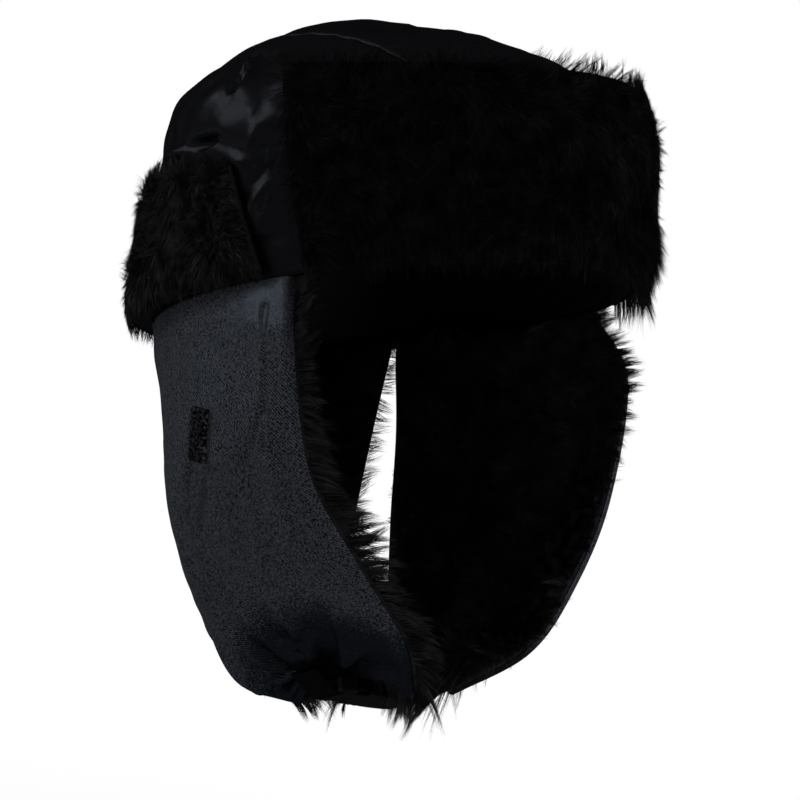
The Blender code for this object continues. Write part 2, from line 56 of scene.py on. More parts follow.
# How far the crown's layers lie off the head, from the inside out
LINING_LAYER = (0.0, 1.0)
WADDING_LAYER = (1.4, 4.4)
SATIN_LAYER = 7.0
SATIN_THICKNESS = 0.6
HEM_SLOPE = 0.283
HEM_CLEARANCE = 1.2
SEAM_X = 50.0
SEAM_GAP = 0.3
SEAM_DEPTH = 1.1
SEAM_HALF_WIDTH = 2.2
SEAM_ALLOWANCE = 4.0
SEAM_LAYER = (4.85, 4.5)
VISOR_HALF_SWEEP = 66.0
VISOR_FLARE = 14.0
VISOR_HEIGHT = 69.0
VISOR_END_RISE = 13.0
VISOR_LEAN = 0.14
VISOR_LEAN_HEIGHT = 75.0
VISOR_LEAN_EASE = 3.5
VISOR_LEAN_LOST = 0.75
VISOR_FOOT_STAND_OFF = 1.2
CUFF_FRONT_BOTTOM = 76.0
CUFF_FRONT_TOP = 89.0
CUFF_TOP_AT_EAR = 51.0
CUFF_TOP_SLOPE = 0.20
CUFF_LEAN = 0.008
CUFF_END_DROP = 4.0
FLAP_TOP_GAP = 0.8
FLAP_WIDTH = 118.0
FLAP_LENGTH = 190.0
# How deep the flaps' layers lie under the outside, and how their padded edges are rounded and turned in
FLAP_SATIN_DEPTH = 1.0
FLAP_WADDING_LAYER = (2.0, 3.0)
EDGE_RADIUS = 3.2
EDGE_FREE = 9.0
EDGE_TURNED_IN = 2.9
EDGE_TURN_REACH = 7.0
FLAP_FRONT = (
    (80.0, -38.0, 10.0), (88.8, -53.7, -14.0), (80.0, -64.0, -62.0),
    (57.0, -76.0, -97.0), (34.0, -80.0, -124.0), (12.0, -62.0, -145.5),
)
FLAP_MIDDLE = (
    (84.0, 14.0, -4.8), (86.5, 5.0, -42.0), (82.0, 2.0, -80.0),
    (66.0, -6.0, -115.0), (37.0, -21.0, -137.0), (12.0, -24.5, -140.0),
)
FLAP_REAR = (
    (65.0, 65.5, -19.4), (62.5, 54.5, -55.0), (57.5, 45.0, -92.0),
    (48.5, 28.5, -128.0), (39.0, 12.0, -156.0), (14.0, -2.0, -163.0),
)
FLAP_FOLDS = (
    (0.10, 0.38, 0.02, 0.030, 0.24, 1.6),
    (0.66, 0.52, 0.10, 0.035, 0.16, 1.5),
    (0.53, 0.57, 0.06, 0.030, 0.12, 1.2),
    (0.82, 0.78, -0.55, 0.050, 0.13, 2.6),
    (0.92, 0.86, -0.30, 0.045, 0.10, 2.0),
    (0.24, 0.82, 0.50, 0.045, 0.12, 2.2),
)
NECK_TOP_END = 130.5
NECK_BOTTOM_END = 136.0
NECK_TOP_HALF_WIDTH = 84.0
NECK_TOP_HALF_LENGTH = 104.5
NECK_BOTTOM_HALF_WIDTH = 66.0
NECK_BOTTOM_HALF_LENGTH = 76.0
NECK_BOTTOM = -103.0
NECK_CORNER_RISE = 9.0
NECK_LEAN_EASE = 0.9
BUCKLE_CENTER = (-4.0, -26.5, -151.0)
BUCKLE_TURN = (158.0, 6.0, 0.0)
STRAP_HALF_WIDTH = 7.5
STRAP_HALF_THICKNESS = 0.6
STRAP_ON_FLAP = (0.78, 0.80, 0.82)
STRAP_LIFT = 1.7
STRAP_TURN = (
    (27.0, -5.9), (21.0, -3.2), (17.6, -2.7), (16.55, -1.4), (16.55, 1.4),
    (17.6, 2.7), (21.0, 2.6), (26.0, -1.2), (31.0, -4.6),
)
PATCH_SIZE = (10.0, 21.0, 1.4)
PATCH_ACROSS = 0.40
PATCH_ALONG = 0.295
PATCH_STAND_OFF = 0.7
PATCH_SINK = 2.2  # its back lies in the flap, so that no gap shows behind it


# Surfaces

def smooth(low, high, x):
    t = np.clip((x - low) / (high - low), 0.0, 1.0)
    return t * t * (3 - 2 * t)


def unit(v):
    return v / np.maximum(np.linalg.norm(v, axis=-1, keepdims=True), 1e-9)


def hem_height(y):
    return -HEM_SLOPE * y


def head_width(width, share):
    return width * (1.0 + HEAD_TAPER * share)


def crown_height(grow, x, y):
    width, length = HEAD_HALF_WIDTH + grow, HEAD_HALF_LENGTH + grow
    spread = np.clip(1.0 - (x / head_width(width, y / length)) ** 2 - (y / length) ** 2, 0.0, 1.0)
    rise = spread ** (1.0 / CROWN_SQUARENESS)
    return hem_height(y) * (1.0 - rise) + (CROWN_HEIGHT + grow) * rise


def hem_share(width, x, end):
    share = end
    for _ in range(12):
        share = end * math.sqrt(1.0 - (x / head_width(width, share)) ** 2)
    return share


def evenly(points, count):
    points = np.asarray(points, float)
    steps = np.linalg.norm(np.diff(points, axis=0), axis=1)
    along = np.concatenate([[0.0], np.cumsum(steps)])
    wanted = np.linspace(0.0, along[-1], count)
    return np.stack([np.interp(wanted, along, points[:, i]) for i in range(3)], axis=1)


def crown_center_line(grow, x, count):
    width, length = HEAD_HALF_WIDTH + grow, HEAD_HALF_LENGTH + grow
    front, back = length * hem_share(width, x, -1.0), length * hem_share(width, x, 1.0)
    y = (front + back) / 2 - (back - front) / 2 * np.cos(np.linspace(0.0, math.pi, 500))
    return evenly(np.stack([np.full_like(y, x), y, crown_height(grow, x, y)], axis=1), count)


def crown_side_line(grow, angle, inner_x, count):
    width, length = HEAD_HALF_WIDTH + grow, HEAD_HALF_LENGTH + grow
    across, forward = math.sin(angle), math.cos(angle)
    nearest = 0.0
    if inner_x:
        for _ in range(12):
            nearest = inner_x / (head_width(width, -nearest * forward) * abs(across))
    spread = 1.0 - (1.0 - nearest) * np.linspace(0.0, 1.0, 500) ** 2
    x = head_width(width, -spread * forward) * spread * across
    y = -length * spread * forward
    return evenly(np.stack([x, y, crown_height(grow, x, y)], axis=1), count)


def wall(grow, angle, lean, rise):
    turn = np.radians(angle)
    x = head_width(HEAD_HALF_WIDTH + grow, -np.cos(turn)) * np.sin(turn)
    y = -(HEAD_HALF_LENGTH + grow) * np.cos(turn)
    return np.stack([x * lean, y * lean, hem_height(y) + HEM_CLEARANCE + rise], axis=-1)


def visor(grow, across, up):
    rise = (VISOR_HEIGHT + VISOR_END_RISE * across**2) * up
    sweep = VISOR_HALF_SWEEP + VISOR_FLARE * up
    lean = VISOR_LEAN * (rise / VISOR_LEAN_HEIGHT) ** VISOR_LEAN_EASE * (1 - VISOR_LEAN_LOST * across**2)
    foot = grow + VISOR_FOOT_STAND_OFF * across**2 * (1 - up)
    return wall(foot, sweep * across, 1 - lean, rise)


def cuff(grow, across, up):
    front = CUFF_FRONT_BOTTOM + (CUFF_FRONT_TOP - CUFF_FRONT_BOTTOM) * up
    foot = wall(grow, 180.0 - (180.0 - front) * across, 1.0, 0.0)
    top = CUFF_TOP_AT_EAR - CUFF_TOP_SLOPE * foot[..., 1] - CUFF_END_DROP * across**16
    lean = 1 - CUFF_LEAN * up**2
    rise = foot[..., 2] + (top - foot[..., 2]) * up
    return np.stack([foot[..., 0] * lean, foot[..., 1] * lean, rise], axis=-1)


def neck(depth, across, down):
    ease = down**NECK_LEAN_EASE
    width = NECK_TOP_HALF_WIDTH + (NECK_BOTTOM_HALF_WIDTH - NECK_TOP_HALF_WIDTH) * ease - depth
    length = NECK_TOP_HALF_LENGTH + (NECK_BOTTOM_HALF_LENGTH - NECK_TOP_HALF_LENGTH) * ease - depth
    end = NECK_TOP_END + (NECK_BOTTOM_END - NECK_TOP_END) * down
    turn = np.radians(180.0 + (180.0 - end) * across)
    x, y = width * np.sin(turn), -length * np.cos(turn)
    top = hem_height(-(NECK_TOP_HALF_LENGTH - depth) * np.cos(turn)) - FLAP_TOP_GAP
    bottom = NECK_BOTTOM + NECK_CORNER_RISE * across**6
    return np.stack([x, y, top + (bottom - top) * down], axis=-1)


def spline(points, t):
    points = np.asarray(points, float)
    padded = np.concatenate([[2 * points[0] - points[1]], points, [2 * points[-1] - points[-2]]])
    at = np.clip(np.asarray(t, float), 0.0, 1.0) * (len(points) - 1)
    first = np.minimum(at.astype(int), len(points) - 2)
    f = (at - first)[..., None]
    p0, p1, p2, p3 = (padded[first + i] for i in range(4))
    bend = (2 * p0 - 5 * p1 + 4 * p2 - p3) * f**2 + (3 * p1 - p0 - 3 * p2 + p3) * f**3
    return p1 + 0.5 * ((p2 - p0) * f + bend)


def flap_surface(u, v, side):
    front, middle, rear = (spline(line, v) for line in (FLAP_FRONT, FLAP_MIDDLE, FLAP_REAR))
    u = np.asarray(u, float)[..., None]
    place = front * (1 - u) * (1 - 2 * u) + middle * 4 * u * (1 - u) + rear * u * (2 * u - 1)
    return place * np.array([side, 1.0, 1.0])


def flap_frame(u, v, side):
    step = 1e-3
    low, high = np.clip(v - step, 0.0, 1.0), np.clip(v + step, 0.0, 1.0)
    across = flap_surface(u + step, v, side) - flap_surface(u - step, v, side)
    down = flap_surface(u, high, side) - flap_surface(u, low, side)
    return flap_surface(u, v, side), unit(np.cross(across, down) * -side)


def flap(depth, u, v, side):
    place, out = flap_frame(u, v, side)
    point = place - out * np.asarray(depth)[..., None]
    ceiling = hem_height(point[..., 1]) - FLAP_TOP_GAP
    near_top = smooth(0.06, 0.0, v)
    point[..., 2] = np.where(v < 0.06, point[..., 2] + (ceiling - point[..., 2]) * near_top, point[..., 2])
    point[..., 2] = np.minimum(point[..., 2], ceiling)
    return point


def flap_fold(u, v):
    out = np.zeros_like(u)
    for across, along, slant, half_width, reach, height in FLAP_FOLDS:
        run = v - along
        off = (u - across - slant * run) / half_width
        out = out + height * np.exp(-(off**2) - (run / reach) ** 4)
    return out


# Noise that is the same on every run
def waves(points, scale, seed, count=14):
    """Smooth noise from a sum of plane waves, about -1 to 1."""
    rng = np.random.default_rng(seed)
    heading = unit(rng.normal(size=(count, 3)))
    pitch = 2 * math.pi / (scale * rng.uniform(0.6, 1.7, count))
    phase = rng.uniform(0, 2 * math.pi, count)
    return np.sin((points @ heading.T) * pitch + phase).sum(-1) * (1.7 / count**0.5)


# The photograph

CAMERA_TURN = (40.0, 5.0, 5.5)  # azimuth, pitch and roll in degrees
CAMERA_DISTANCE = 1300.0
PIXELS_PER_MM = 2.5
PHOTO_SIZE = 800
CENTER_PIXEL = (386.0, 308.0)  # the middle of the head opening
KEY_LAMP = (-1.12, 0.90, -0.23)  # metres, as from_hat takes them


def camera_axes(azimuth, pitch, roll):
    """The camera's right, up and backward directions."""
    a, p, r = (math.radians(x) for x in (azimuth, pitch, roll))
    back = np.array([-math.sin(a), -math.cos(a), 0.0])
    right = np.array([math.cos(a), -math.sin(a), 0.0])
    up = np.cross(back, right)
    right, up = right * math.cos(r) + up * math.sin(r), up * math.cos(r) - right * math.sin(r)
    lean = np.array([[1, 0, 0], [0, math.cos(p), math.sin(p)], [0, -math.sin(p), math.cos(p)]])
    return lean @ right, lean @ up, lean @ back


CAMERA_RIGHT, CAMERA_UP, CAMERA_BACK = camera_axes(*CAMERA_TURN)


def from_hat(sideways, upward, forward):
    """A place so far from the hat to the camera's right, up and towards the camera."""
    return CAMERA_RIGHT * sideways + CAMERA_UP * upward + CAMERA_BACK * forward


EYE = from_hat(
    (PHOTO_SIZE / 2 - CENTER_PIXEL[0]) / PIXELS_PER_MM,
    (CENTER_PIXEL[1] - PHOTO_SIZE / 2) / PIXELS_PER_MM,
    CAMERA_DISTANCE,
)
DEPTH_WEIGHT = 0.02  # pixels to a millimetre


def seen_at(points, pixel):
    """Which point of a grid the photograph has at a pixel, the nearer one where two lie in line."""
    off = points - EYE
    depth = -(off @ CAMERA_BACK)
    scale = PIXELS_PER_MM * CAMERA_DISTANCE / depth
    x = PHOTO_SIZE / 2 + scale * (off @ CAMERA_RIGHT)
    y = PHOTO_SIZE / 2 - scale * (off @ CAMERA_UP)
    miss = np.hypot(x - pixel[0], y - pixel[1]) + DEPTH_WEIGHT * depth
    return np.unravel_index(np.argmin(miss), miss.shape)


# Mesh making

def mesh_piece(name, points, faces, materials, index=None, uv=None, shaded=True):
    """A piece from points in millimetres and an array of faces of one size, or a list of such arrays."""
    groups = faces if isinstance(faces, list) else [faces]
    groups = [np.asarray(g, np.int32) for g in groups if len(g)]
    mesh = bpy.data.meshes.new(name)
    points = np.asarray(points, np.float32) * MM
    loops = np.concatenate([g.ravel() for g in groups])
    sizes = np.concatenate([np.full(len(g), g.shape[1], np.int32) for g in groups])
    mesh.vertices.add(len(points))
    mesh.vertices.foreach_set("co", points.ravel())
    mesh.loops.add(len(loops))
    mesh.loops.foreach_set("vertex_index", loops)
    mesh.polygons.add(len(sizes))
    mesh.polygons.foreach_set("loop_start", np.concatenate([[0], np.cumsum(sizes)[:-1]]).astype(np.int32))
    mesh.polygons.foreach_set("loop_total", sizes)
    for m in materials:
        mesh.materials.append(m)
    if index is not None:
        mesh.polygons.foreach_set("material_index", np.asarray(index, np.int32))
    if uv is not None:
        layer = mesh.uv_layers.new(name="UVMap")
        layer.data.foreach_set("uv", np.asarray(uv, np.float32)[loops].ravel())
    mesh.update(calc_edges=True)
    mesh.validate()
    if shaded:
        mesh.shade_smooth()
    piece = bpy.data.objects.new(name, mesh)
    bpy.context.scene.collection.objects.link(piece)
    return piece


def grid_faces(rows, columns, start=0, flip=False):
    r, c = np.meshgrid(np.arange(rows - 1), np.arange(columns - 1), indexing="ij")
    a = (start + r * columns + c).ravel()
    quads = np.stack([a, a + 1, a + columns + 1, a + columns], axis=1)
    return quads[:, ::-1] if flip else quads


def rim_faces(rows, columns, shift, flip=False):
    index = np.arange(rows * columns).reshape(rows, columns)
    rim = np.concatenate([index[0], index[1:, -1], index[-1, -2::-1], index[-2:0:-1, 0]])
    after = np.roll(rim, -1)
    quads = np.stack([after, rim, rim + shift, after + shift], axis=1)
    return quads[:, ::-1] if flip else quads


def grid_uv(grid):
    """Lengths along a grid's lines in metres, for a weave of even size."""
    rows = np.linalg.norm(np.diff(grid, axis=1), axis=2).mean(0)
    columns = np.linalg.norm(np.diff(grid, axis=0), axis=2).mean(1)
    u = np.concatenate([[0.0], np.cumsum(rows)])
    v = np.concatenate([[0.0], np.cumsum(columns)])
    v, u = np.meshgrid(v, u, indexing="ij")
    return np.stack([u, v], axis=-1).reshape(-1, 2) * MM


def sheet_faces(rows, columns, flip):
    """Faces of a closed sheet between two grids of one size. flip turns it the right way out."""
    count = rows * columns
    return np.concatenate([
        grid_faces(rows, columns, 0, flip),
        grid_faces(rows, columns, count, not flip),
        rim_faces(rows, columns, count, flip),
    ])


def ribbon_faces(count, joints):
    """Faces of ribbons that have two points at each joint."""
    step = np.arange(joints - 1) * 2
    quads = np.stack([step, step + 1, step + 3, step + 2], axis=1)
    return (np.arange(count)[:, None, None] * joints * 2 + quads[None]).reshape(-1, 4)


def turned_out(outer, inner):
    """Whether a grid's faces have to be flipped to face away from its inner grid."""
    across = np.diff(outer, axis=1)[:-1]
    down = np.diff(outer, axis=0)[:, :-1]
    normal = np.cross(across, down)
    away = (outer - inner)[:-1, :-1]
    return float((normal * away).sum()) < 0


def closed_sheet(name, outer, inner, materials):
    faces = sheet_faces(*outer.shape[:2], turned_out(outer, inner))
    uv = np.tile(grid_uv(outer), (2, 1))
    points = np.concatenate([outer.reshape(-1, 3), inner.reshape(-1, 3)])
    return mesh_piece(name, points, faces, materials, uv=uv)


def grid_normals(grid, away):
    down = np.gradient(grid, axis=0)
    across = np.gradient(grid, axis=1)
    normal = unit(np.cross(across, down))
    return normal * np.sign((normal * away).sum(-1, keepdims=True) + 1e-9)


# What a piece rides on


def sew(piece, body, node):
    """A piece that rides on one body, in place of its solid."""
    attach(piece, body)
    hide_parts(node)


def hang(piece):
    """Cloth that is sewn to the hem, with its placement baked into its points."""
    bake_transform(piece)


def hang_flap(word, satin, padding, pile):
    """A flap's three layers, each in place of its own solid."""
    body = word + "_flap"
    for piece, layer, fill in ((satin, "_shell", 0.5), (padding, "_wadding", 0.6), (pile, "_fur", None)):
        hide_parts(body + layer)
        hang(piece)


# Materials

class Nodes:
    """A material's node tree, written one node at a time."""

    def __init__(self, name):
        self.material = bpy.data.materials.new(name)
        self.material.use_nodes = True
        self.tree = self.material.node_tree
        self.shader = self.tree.nodes["Principled BSDF"]

    def add(self, kind, **values):
        node = self.tree.nodes.new(kind)
        for key, value in values.items():
            if key in node.inputs:
                node.inputs[key].default_value = value
            else:
                setattr(node, key, value)
        return node

    def link(self, out, into):
        self.tree.links.new(out, into)

    def feed(self, value, socket):
        """Links an output to a socket, or sets the socket to a plain number."""
        if isinstance(value, float):
            socket.default_value = value
        else:
            self.link(value, socket)

    def through(self, kind, source, into, out, **values):
        """Adds a node that takes a source in at one socket, and gives its output."""
        node = self.add(kind, **values)
        self.link(source, node.inputs[into])
        return node.outputs[out]

    def coordinates(self, which):
        return self.add("ShaderNodeTexCoord").outputs[which]

    def noise(self, source, scale, detail=3.0, roughness=0.55, distortion=0.0):
        values = {"Scale": scale, "Detail": detail, "Roughness": roughness, "Distortion": distortion}
        return self.through("ShaderNodeTexNoise", source, "Vector", "Fac", **values)

    def wave(self, source, scale, direction="DIAGONAL"):
        values = {"wave_type": "BANDS", "bands_direction": direction, "Scale": scale}
        return self.through("ShaderNodeTexWave", source, "Vector", "Fac", **values)

    def ramp(self, source, low, high, color_low, color_high):
        node = self.add("ShaderNodeValToRGB")
        node.color_ramp.elements[0].position = low
        node.color_ramp.elements[1].position = high
        node.color_ramp.elements[0].color = (*color_low, 1.0)
        node.color_ramp.elements[1].color = (*color_high, 1.0)
        self.link(source, node.inputs["Fac"])
        return node.outputs["Color"]

    def range(self, source, low, high):
        values = {"To Min": low, "To Max": high}
        return self.through("ShaderNodeMapRange", source, "Value", "Result", **values)

    def fade(self, source, near, far, low):
        """Rises smoothly from low at the near value to 1 at the far one."""
        values = {"From Min": near, "From Max": far, "To Min": low, "interpolation_type": "SMOOTHSTEP"}
        return self.through("ShaderNodeMapRange", source, "Value", "Result", **values)

    def math(self, operation, a, b):
        node = self.add("ShaderNodeMath", operation=operation)
        for socket, value in zip(node.inputs, (a, b)):
            self.feed(value, socket)
        return node.outputs["Value"]

    def bump(self, height, strength, distance, base=None):
        node = self.add("ShaderNodeBump", Strength=strength, Distance=distance)
        self.link(height, node.inputs["Height"])
        if base is not None:
            self.link(base, node.inputs["Normal"])
        return node.outputs["Normal"]

    def matt(self, color, roughness, normal):
        for name, source in (("Base Color", color), ("Roughness", roughness), ("Normal", normal)):
            self.link(source, self.shader.inputs[name])
        self.shader.inputs["Specular IOR Level"].default_value = 0.0

    def mix(self, share, other):
        """Mixes another shader's output with the main one's."""
        node = self.add("ShaderNodeMixShader")
        self.feed(share, node.inputs["Fac"])
        self.link(self.shader.outputs["BSDF"], node.inputs[1])
        self.link(other, node.inputs[2])
        self.link(node.outputs["Shader"], self.tree.nodes["Material Output"].inputs["Surface"])

    def gloss(self, color, shine, roughness, normal, share):
        """Mixes in a plain gloss, which stays as dark at glancing angles as black cloth and hair do."""
        self.matt(color, roughness, normal)
        glossy = self.add("ShaderNodeBsdfAnisotropic")
        for name, source in (("Color", shine), ("Roughness", roughness), ("Normal", normal)):
            self.link(source, glossy.inputs[name])
        self.mix(share, glossy.outputs["BSDF"])


# The middle of the painted shade under the chin, in metres
CHIN_SHADE_CENTER = (0.0, -0.040, -0.145)  # metres


def satin_material(name, dark, light, shine, share, chin_shade=False):
    """Satin with a twill of fine threads. With chin_shade, it has painted shade where the flaps are drawn
    in and turn under at the chin.
    """
    n = Nodes(name)
    place = n.coordinates("Object")
    flat = n.coordinates("UV")
    weave = n.math("MULTIPLY", n.wave(flat, 520.0), n.noise(place, 1000.0, 2.0))
    grain = n.math("ADD", n.noise(place, 1300.0, 1.0, 0.6), n.math("MULTIPLY", weave, 0.35))
    # Painted shade: the colour darkens towards the chin, where the flap turns under.
    if chin_shade:
        away = n.add("ShaderNodeVectorMath", operation="DISTANCE")
        away.inputs[1].default_value = CHIN_SHADE_CENTER
        n.link(place, away.inputs[0])
        reach = n.math("ADD", away.outputs["Value"], n.math("MULTIPLY", n.noise(place, 45.0, 2.0), 0.03))
        grain = n.math("MULTIPLY", grain, n.fade(reach, 0.062, 0.086, 0.62))
    color = n.ramp(grain, 0.46, 0.71, dark, light)
    threads = n.ramp(weave, 0.0, 0.5, [0.5 * c for c in shine], shine)
    roughness = n.range(n.noise(place, 120.0, 3.0), 0.22, 0.34)
    crumple = n.bump(n.noise(place, 55.0, 3.0, 0.5, 0.8), 0.3, 0.0016)
    n.gloss(color, threads, roughness, n.bump(weave, 0.3, 0.0003, crumple), share)
    return n.material


def fur_material(name, dark, light, roughness):
    n = Nodes(name)
    place = n.coordinates("Object")
    color = n.ramp(n.noise(place, 120.0, 4.0), 0.36, 0.72, dark, light)
    spread = n.range(n.noise(place, 400.0, 2.0), roughness - 0.08, roughness + 0.12)
    n.gloss(color, color, spread, n.bump(n.noise(place, 1500.0, 2.0), 0.15, 0.0003), 0.35)
    return n.material


def plastic_material(name):
    n = Nodes(name)
    place = n.coordinates("Object")
    dark, light = (0.0030, 0.0030, 0.0033), (0.0065, 0.0065, 0.0070)
    color = n.ramp(n.noise(place, 220.0, 4.0), 0.35, 0.8, dark, light)
    roughness = n.range(n.noise(place, 700.0, 3.0), 0.24, 0.40)
    n.gloss(color, color, roughness, n.bump(n.noise(place, 2600.0, 2.0), 0.12, 0.0002), 0.5)
    return n.material


def webbing_material(name):
    n = Nodes(name)
    flat = n.coordinates("UV")
    place = n.coordinates("Object")
    ribs = n.math("MULTIPLY", n.wave(flat, 190.0, "X"), n.wave(flat, 260.0, "Y"))
    dark, light = (0.0010, 0.0010, 0.0011), (0.0045, 0.0045, 0.0050)
    roughness = n.range(n.noise(place, 900.0, 2.0), 0.5, 0.7)
    n.matt(n.ramp(ribs, 0.1, 0.9, dark, light), roughness, n.bump(ribs, 0.6, 0.0004))
    return n.material


def cloth_material(name, dark, light, roughness, scale, spread=(0.3, 0.75)):
    n = Nodes(name)
    place = n.coordinates("Object")
    color = n.ramp(n.noise(place, scale, 5.0), *spread, dark, light)
    rough = n.range(n.noise(place, scale * 2.0, 3.0), roughness - 0.1, roughness)
    n.matt(color, rough, n.bump(n.noise(place, scale * 4.0, 4.0), 0.5, 0.0006))
    return n.material


SATIN = satin_material(
    "satin_cloth", (0.0012, 0.0012, 0.0014), (0.0046, 0.0047, 0.0053), (0.0052, 0.0054, 0.0064), 0.6,
)
# The same satin with a painted broad reflection: its lighter colour stands for the sheen that the flaps
# catch. Near the chin it has painted shade.
FLAP_SATIN_PAINTED_SHEEN = satin_material(
    "flap_satin_painted_sheen", (0.0015, 0.0016, 0.0018), (0.039, 0.041, 0.047), (0.0110, 0.0140, 0.0190), 0.3,
    chin_shade=True,
)
LINING = satin_material(
    "lining_cloth", (0.0030, 0.0032, 0.0037), (0.0060, 0.0062, 0.0070), (0.0050, 0.0052, 0.0060), 0.4,
)
FUR = fur_material("fur_hair", (0.0017, 0.0017, 0.0018), (0.0072, 0.0072, 0.0074), 0.42)
# Painted light: the cuff's fur is a lighter copy of the same fur, for the light that falls on the cuff.
CUFF_FUR_PAINTED_LIGHT = fur_material("cuff_fur_hair_painted_light", (0.0040, 0.0040, 0.0041), (0.0180, 0.0180, 0.0183), 0.42)
# Painted light: the flaps' fur is a lighter copy of the same fur, for the light that falls on the flaps'
# insides.
FLAP_FUR_PAINTED_LIGHT = fur_material("flap_fur_hair_painted_light", (0.0060, 0.0060, 0.0061), (0.0220, 0.0220, 0.0223), 0.45)
UNDERCOAT = fur_material("fur_undercoat", (0.0014, 0.0014, 0.0014), (0.0036, 0.0036, 0.0037), 0.8)
# Painted light: a lighter copy of the undercoat, for the flaps.
FLAP_UNDERCOAT_PAINTED_LIGHT = fur_material("flap_fur_undercoat_painted_light", (0.0050, 0.0050, 0.0051), (0.0140, 0.0140, 0.0142), 0.8)
PLASTIC = plastic_material("moulded_plastic")
WEBBING = webbing_material("woven_webbing")
WADDING = cloth_material("fibre_wadding", (0.50, 0.50, 0.48), (0.70, 0.70, 0.68), 0.95, 300.0)
STIFFENER = cloth_material("nonwoven_stiffener", (0.24, 0.24, 0.25), (0.36, 0.36, 0.37), 0.95, 500.0)
# Loop tape: a random dark tone with light specks, which are painted glints of the shining loops.
LOOPS_WITH_PAINTED_GLINTS = cloth_material(
    "loop_tape", (0.0015, 0.0015, 0.0017), (0.062, 0.063, 0.070), 0.95, 900.0, spread=(0.47, 0.72),
)


# Fur

HAIR_TAPER = {3: (0.9, 0.9, 0.15), 4: (0.85, 1.0, 0.75, 0.12)}


def scatter(width, height, count, rng):
    """Jittered places over a rectangle, as shares of its sides."""
    columns = max(2, round(math.sqrt(count * width / height)))
    rows = max(2, round(count / columns))
    a, b = np.meshgrid(np.arange(columns), np.arange(rows), indexing="ij")
    a = (a.ravel() + rng.uniform(0, 1, a.size)) / columns
    b = (b.ravel() + rng.uniform(0, 1, b.size)) / rows
    return a, b


def skin(surface, p, q):
    """A surface's points, its two unit tangents and its normal, at places from 0 to 1."""
    step = 2e-3
    here = surface(p, q)
    first = unit(surface(np.clip(p + step, 0, 1), q) - surface(np.clip(p - step, 0, 1), q))
    second = unit(surface(p, np.clip(q + step, 0, 1)) - surface(p, np.clip(q - step, 0, 1)))
    return here, first, second, unit(np.cross(first, second))


def hairs(surface, size, count, locks, comb, facing, seed, length, joints=4, width=0.18):
    """Points and faces of hairs drawn together in locks, the longer ones pointed.

    comb gives each lock's lean along the surface's two directions, its rise off the surface, its length as
    a share and its sag.
    """
    rng = np.random.default_rng(seed)
    lp, lq = scatter(*size, locks, rng)
    base, first, second, normal = skin(surface, lp, lq)
    normal = normal * facing
    lean_first, lean_second, rise, share, sag = comb(lp, lq)
    swirl = waves(base, 38.0, seed + 1), waves(base, 38.0, seed + 2)
    jitter = rng.normal(0, 0.17, (3, len(lp)))
    heading = first * (lean_first + 0.22 * swirl[0] + jitter[0])[:, None]
    heading = heading + second * (lean_second + 0.22 * swirl[1] + jitter[1])[:, None]
    heading = unit(heading + normal * (rise * (1 + 0.3 * jitter[2]))[:, None])
    reach = rng.uniform(*length, len(lp)) * share
    bend = unit(np.cross(heading, rng.normal(size=heading.shape)))
    bend = bend * (reach * rng.uniform(0.0, 0.22, len(lp)))[:, None]
    gather = 0.45 + 0.4 * smooth(0.9, 1.5, share)

    tree = KDTree(len(base))
    for i, place in enumerate(base):
        tree.insert(place, i)
    tree.balance()
    hp, hq = scatter(*size, count, rng)
    root, _, _, root_normal = skin(surface, hp, hq)
    root_normal = root_normal * facing
    mine = np.array([tree.find(place)[1] for place in root])

    t = np.linspace(0, 1, joints)[None, :, None]
    far = (rng.uniform(0.55, 1.0, len(root)) ** 0.7)[:, None, None]
    s = t * far
    axis = heading[mine][:, None] * (reach[mine][:, None, None] * s) + bend[mine][:, None] * s**2
    rise_first = root_normal[:, None] * (reach[mine][:, None, None] * 0.22 * s * (1 - s))
    pull = (base[mine] - root)[:, None] * (gather[mine][:, None, None] * s**1.25)
    stray = rng.normal(0, 1.0, (len(root), 1, 3)) * (0.5 * s**1.5)
    line = root[:, None] + axis + rise_first + pull + stray
    line[..., 2] -= sag[mine][:, None] * s[..., 0] ** 2

    along = np.gradient(line, axis=1)
    side = unit(np.cross(along, rng.normal(size=(len(root), 1, 3))))
    half = width / 2 * np.array(HAIR_TAPER[joints])[None, :, None]
    points = np.stack([line - side * half, line + side * half], axis=2)
    return points.reshape(-1, 3), ribbon_faces(len(root), joints)


def fur_piece(name, under_outer, under_inner, hair, finishes):
    """The undercoat, a closed sheet, and the hairs on it, as one piece."""
    rows, columns = under_outer.shape[:2]
    under = sheet_faces(rows, columns, turned_out(under_outer, under_inner))
    points = np.concatenate([under_outer.reshape(-1, 3), under_inner.reshape(-1, 3), hair[0]])
    faces = np.concatenate([under, hair[1] + 2 * rows * columns])
    index = np.concatenate([np.zeros(len(under)), np.ones(len(hair[1]))])
    piece = mesh_piece(name, points, faces, finishes, index=index)
    return piece


def field(function, rows, columns):
    """A grid of a surface over shares of 0 to 1."""
    q, p = np.meshgrid(np.linspace(0, 1, rows), np.linspace(0, 1, columns), indexing="ij")
    return function(p, q)


BAND_BACK_LAYER = (7.6, 8.3)
FUR_BASE = 9.9
FUR_EDGE_DEPTH = 1.4
FUR_SWELL = 1.8
FUR_UNDER = 1.0
FLAP_FUR_BASE = 4.2
FLAP_FUR_EDGE = 6.0
FLAP_FUR_DEPTH = 10.6


def band_growth(p, q):
    """How far the undercoat of a turned-up band stands off the head."""
    across, up = 2 * p - 1, 2 * q - 1
    return FUR_BASE + FUR_EDGE_DEPTH - FUR_UNDER + FUR_SWELL * (1 - across**6) * (1 - up**6)


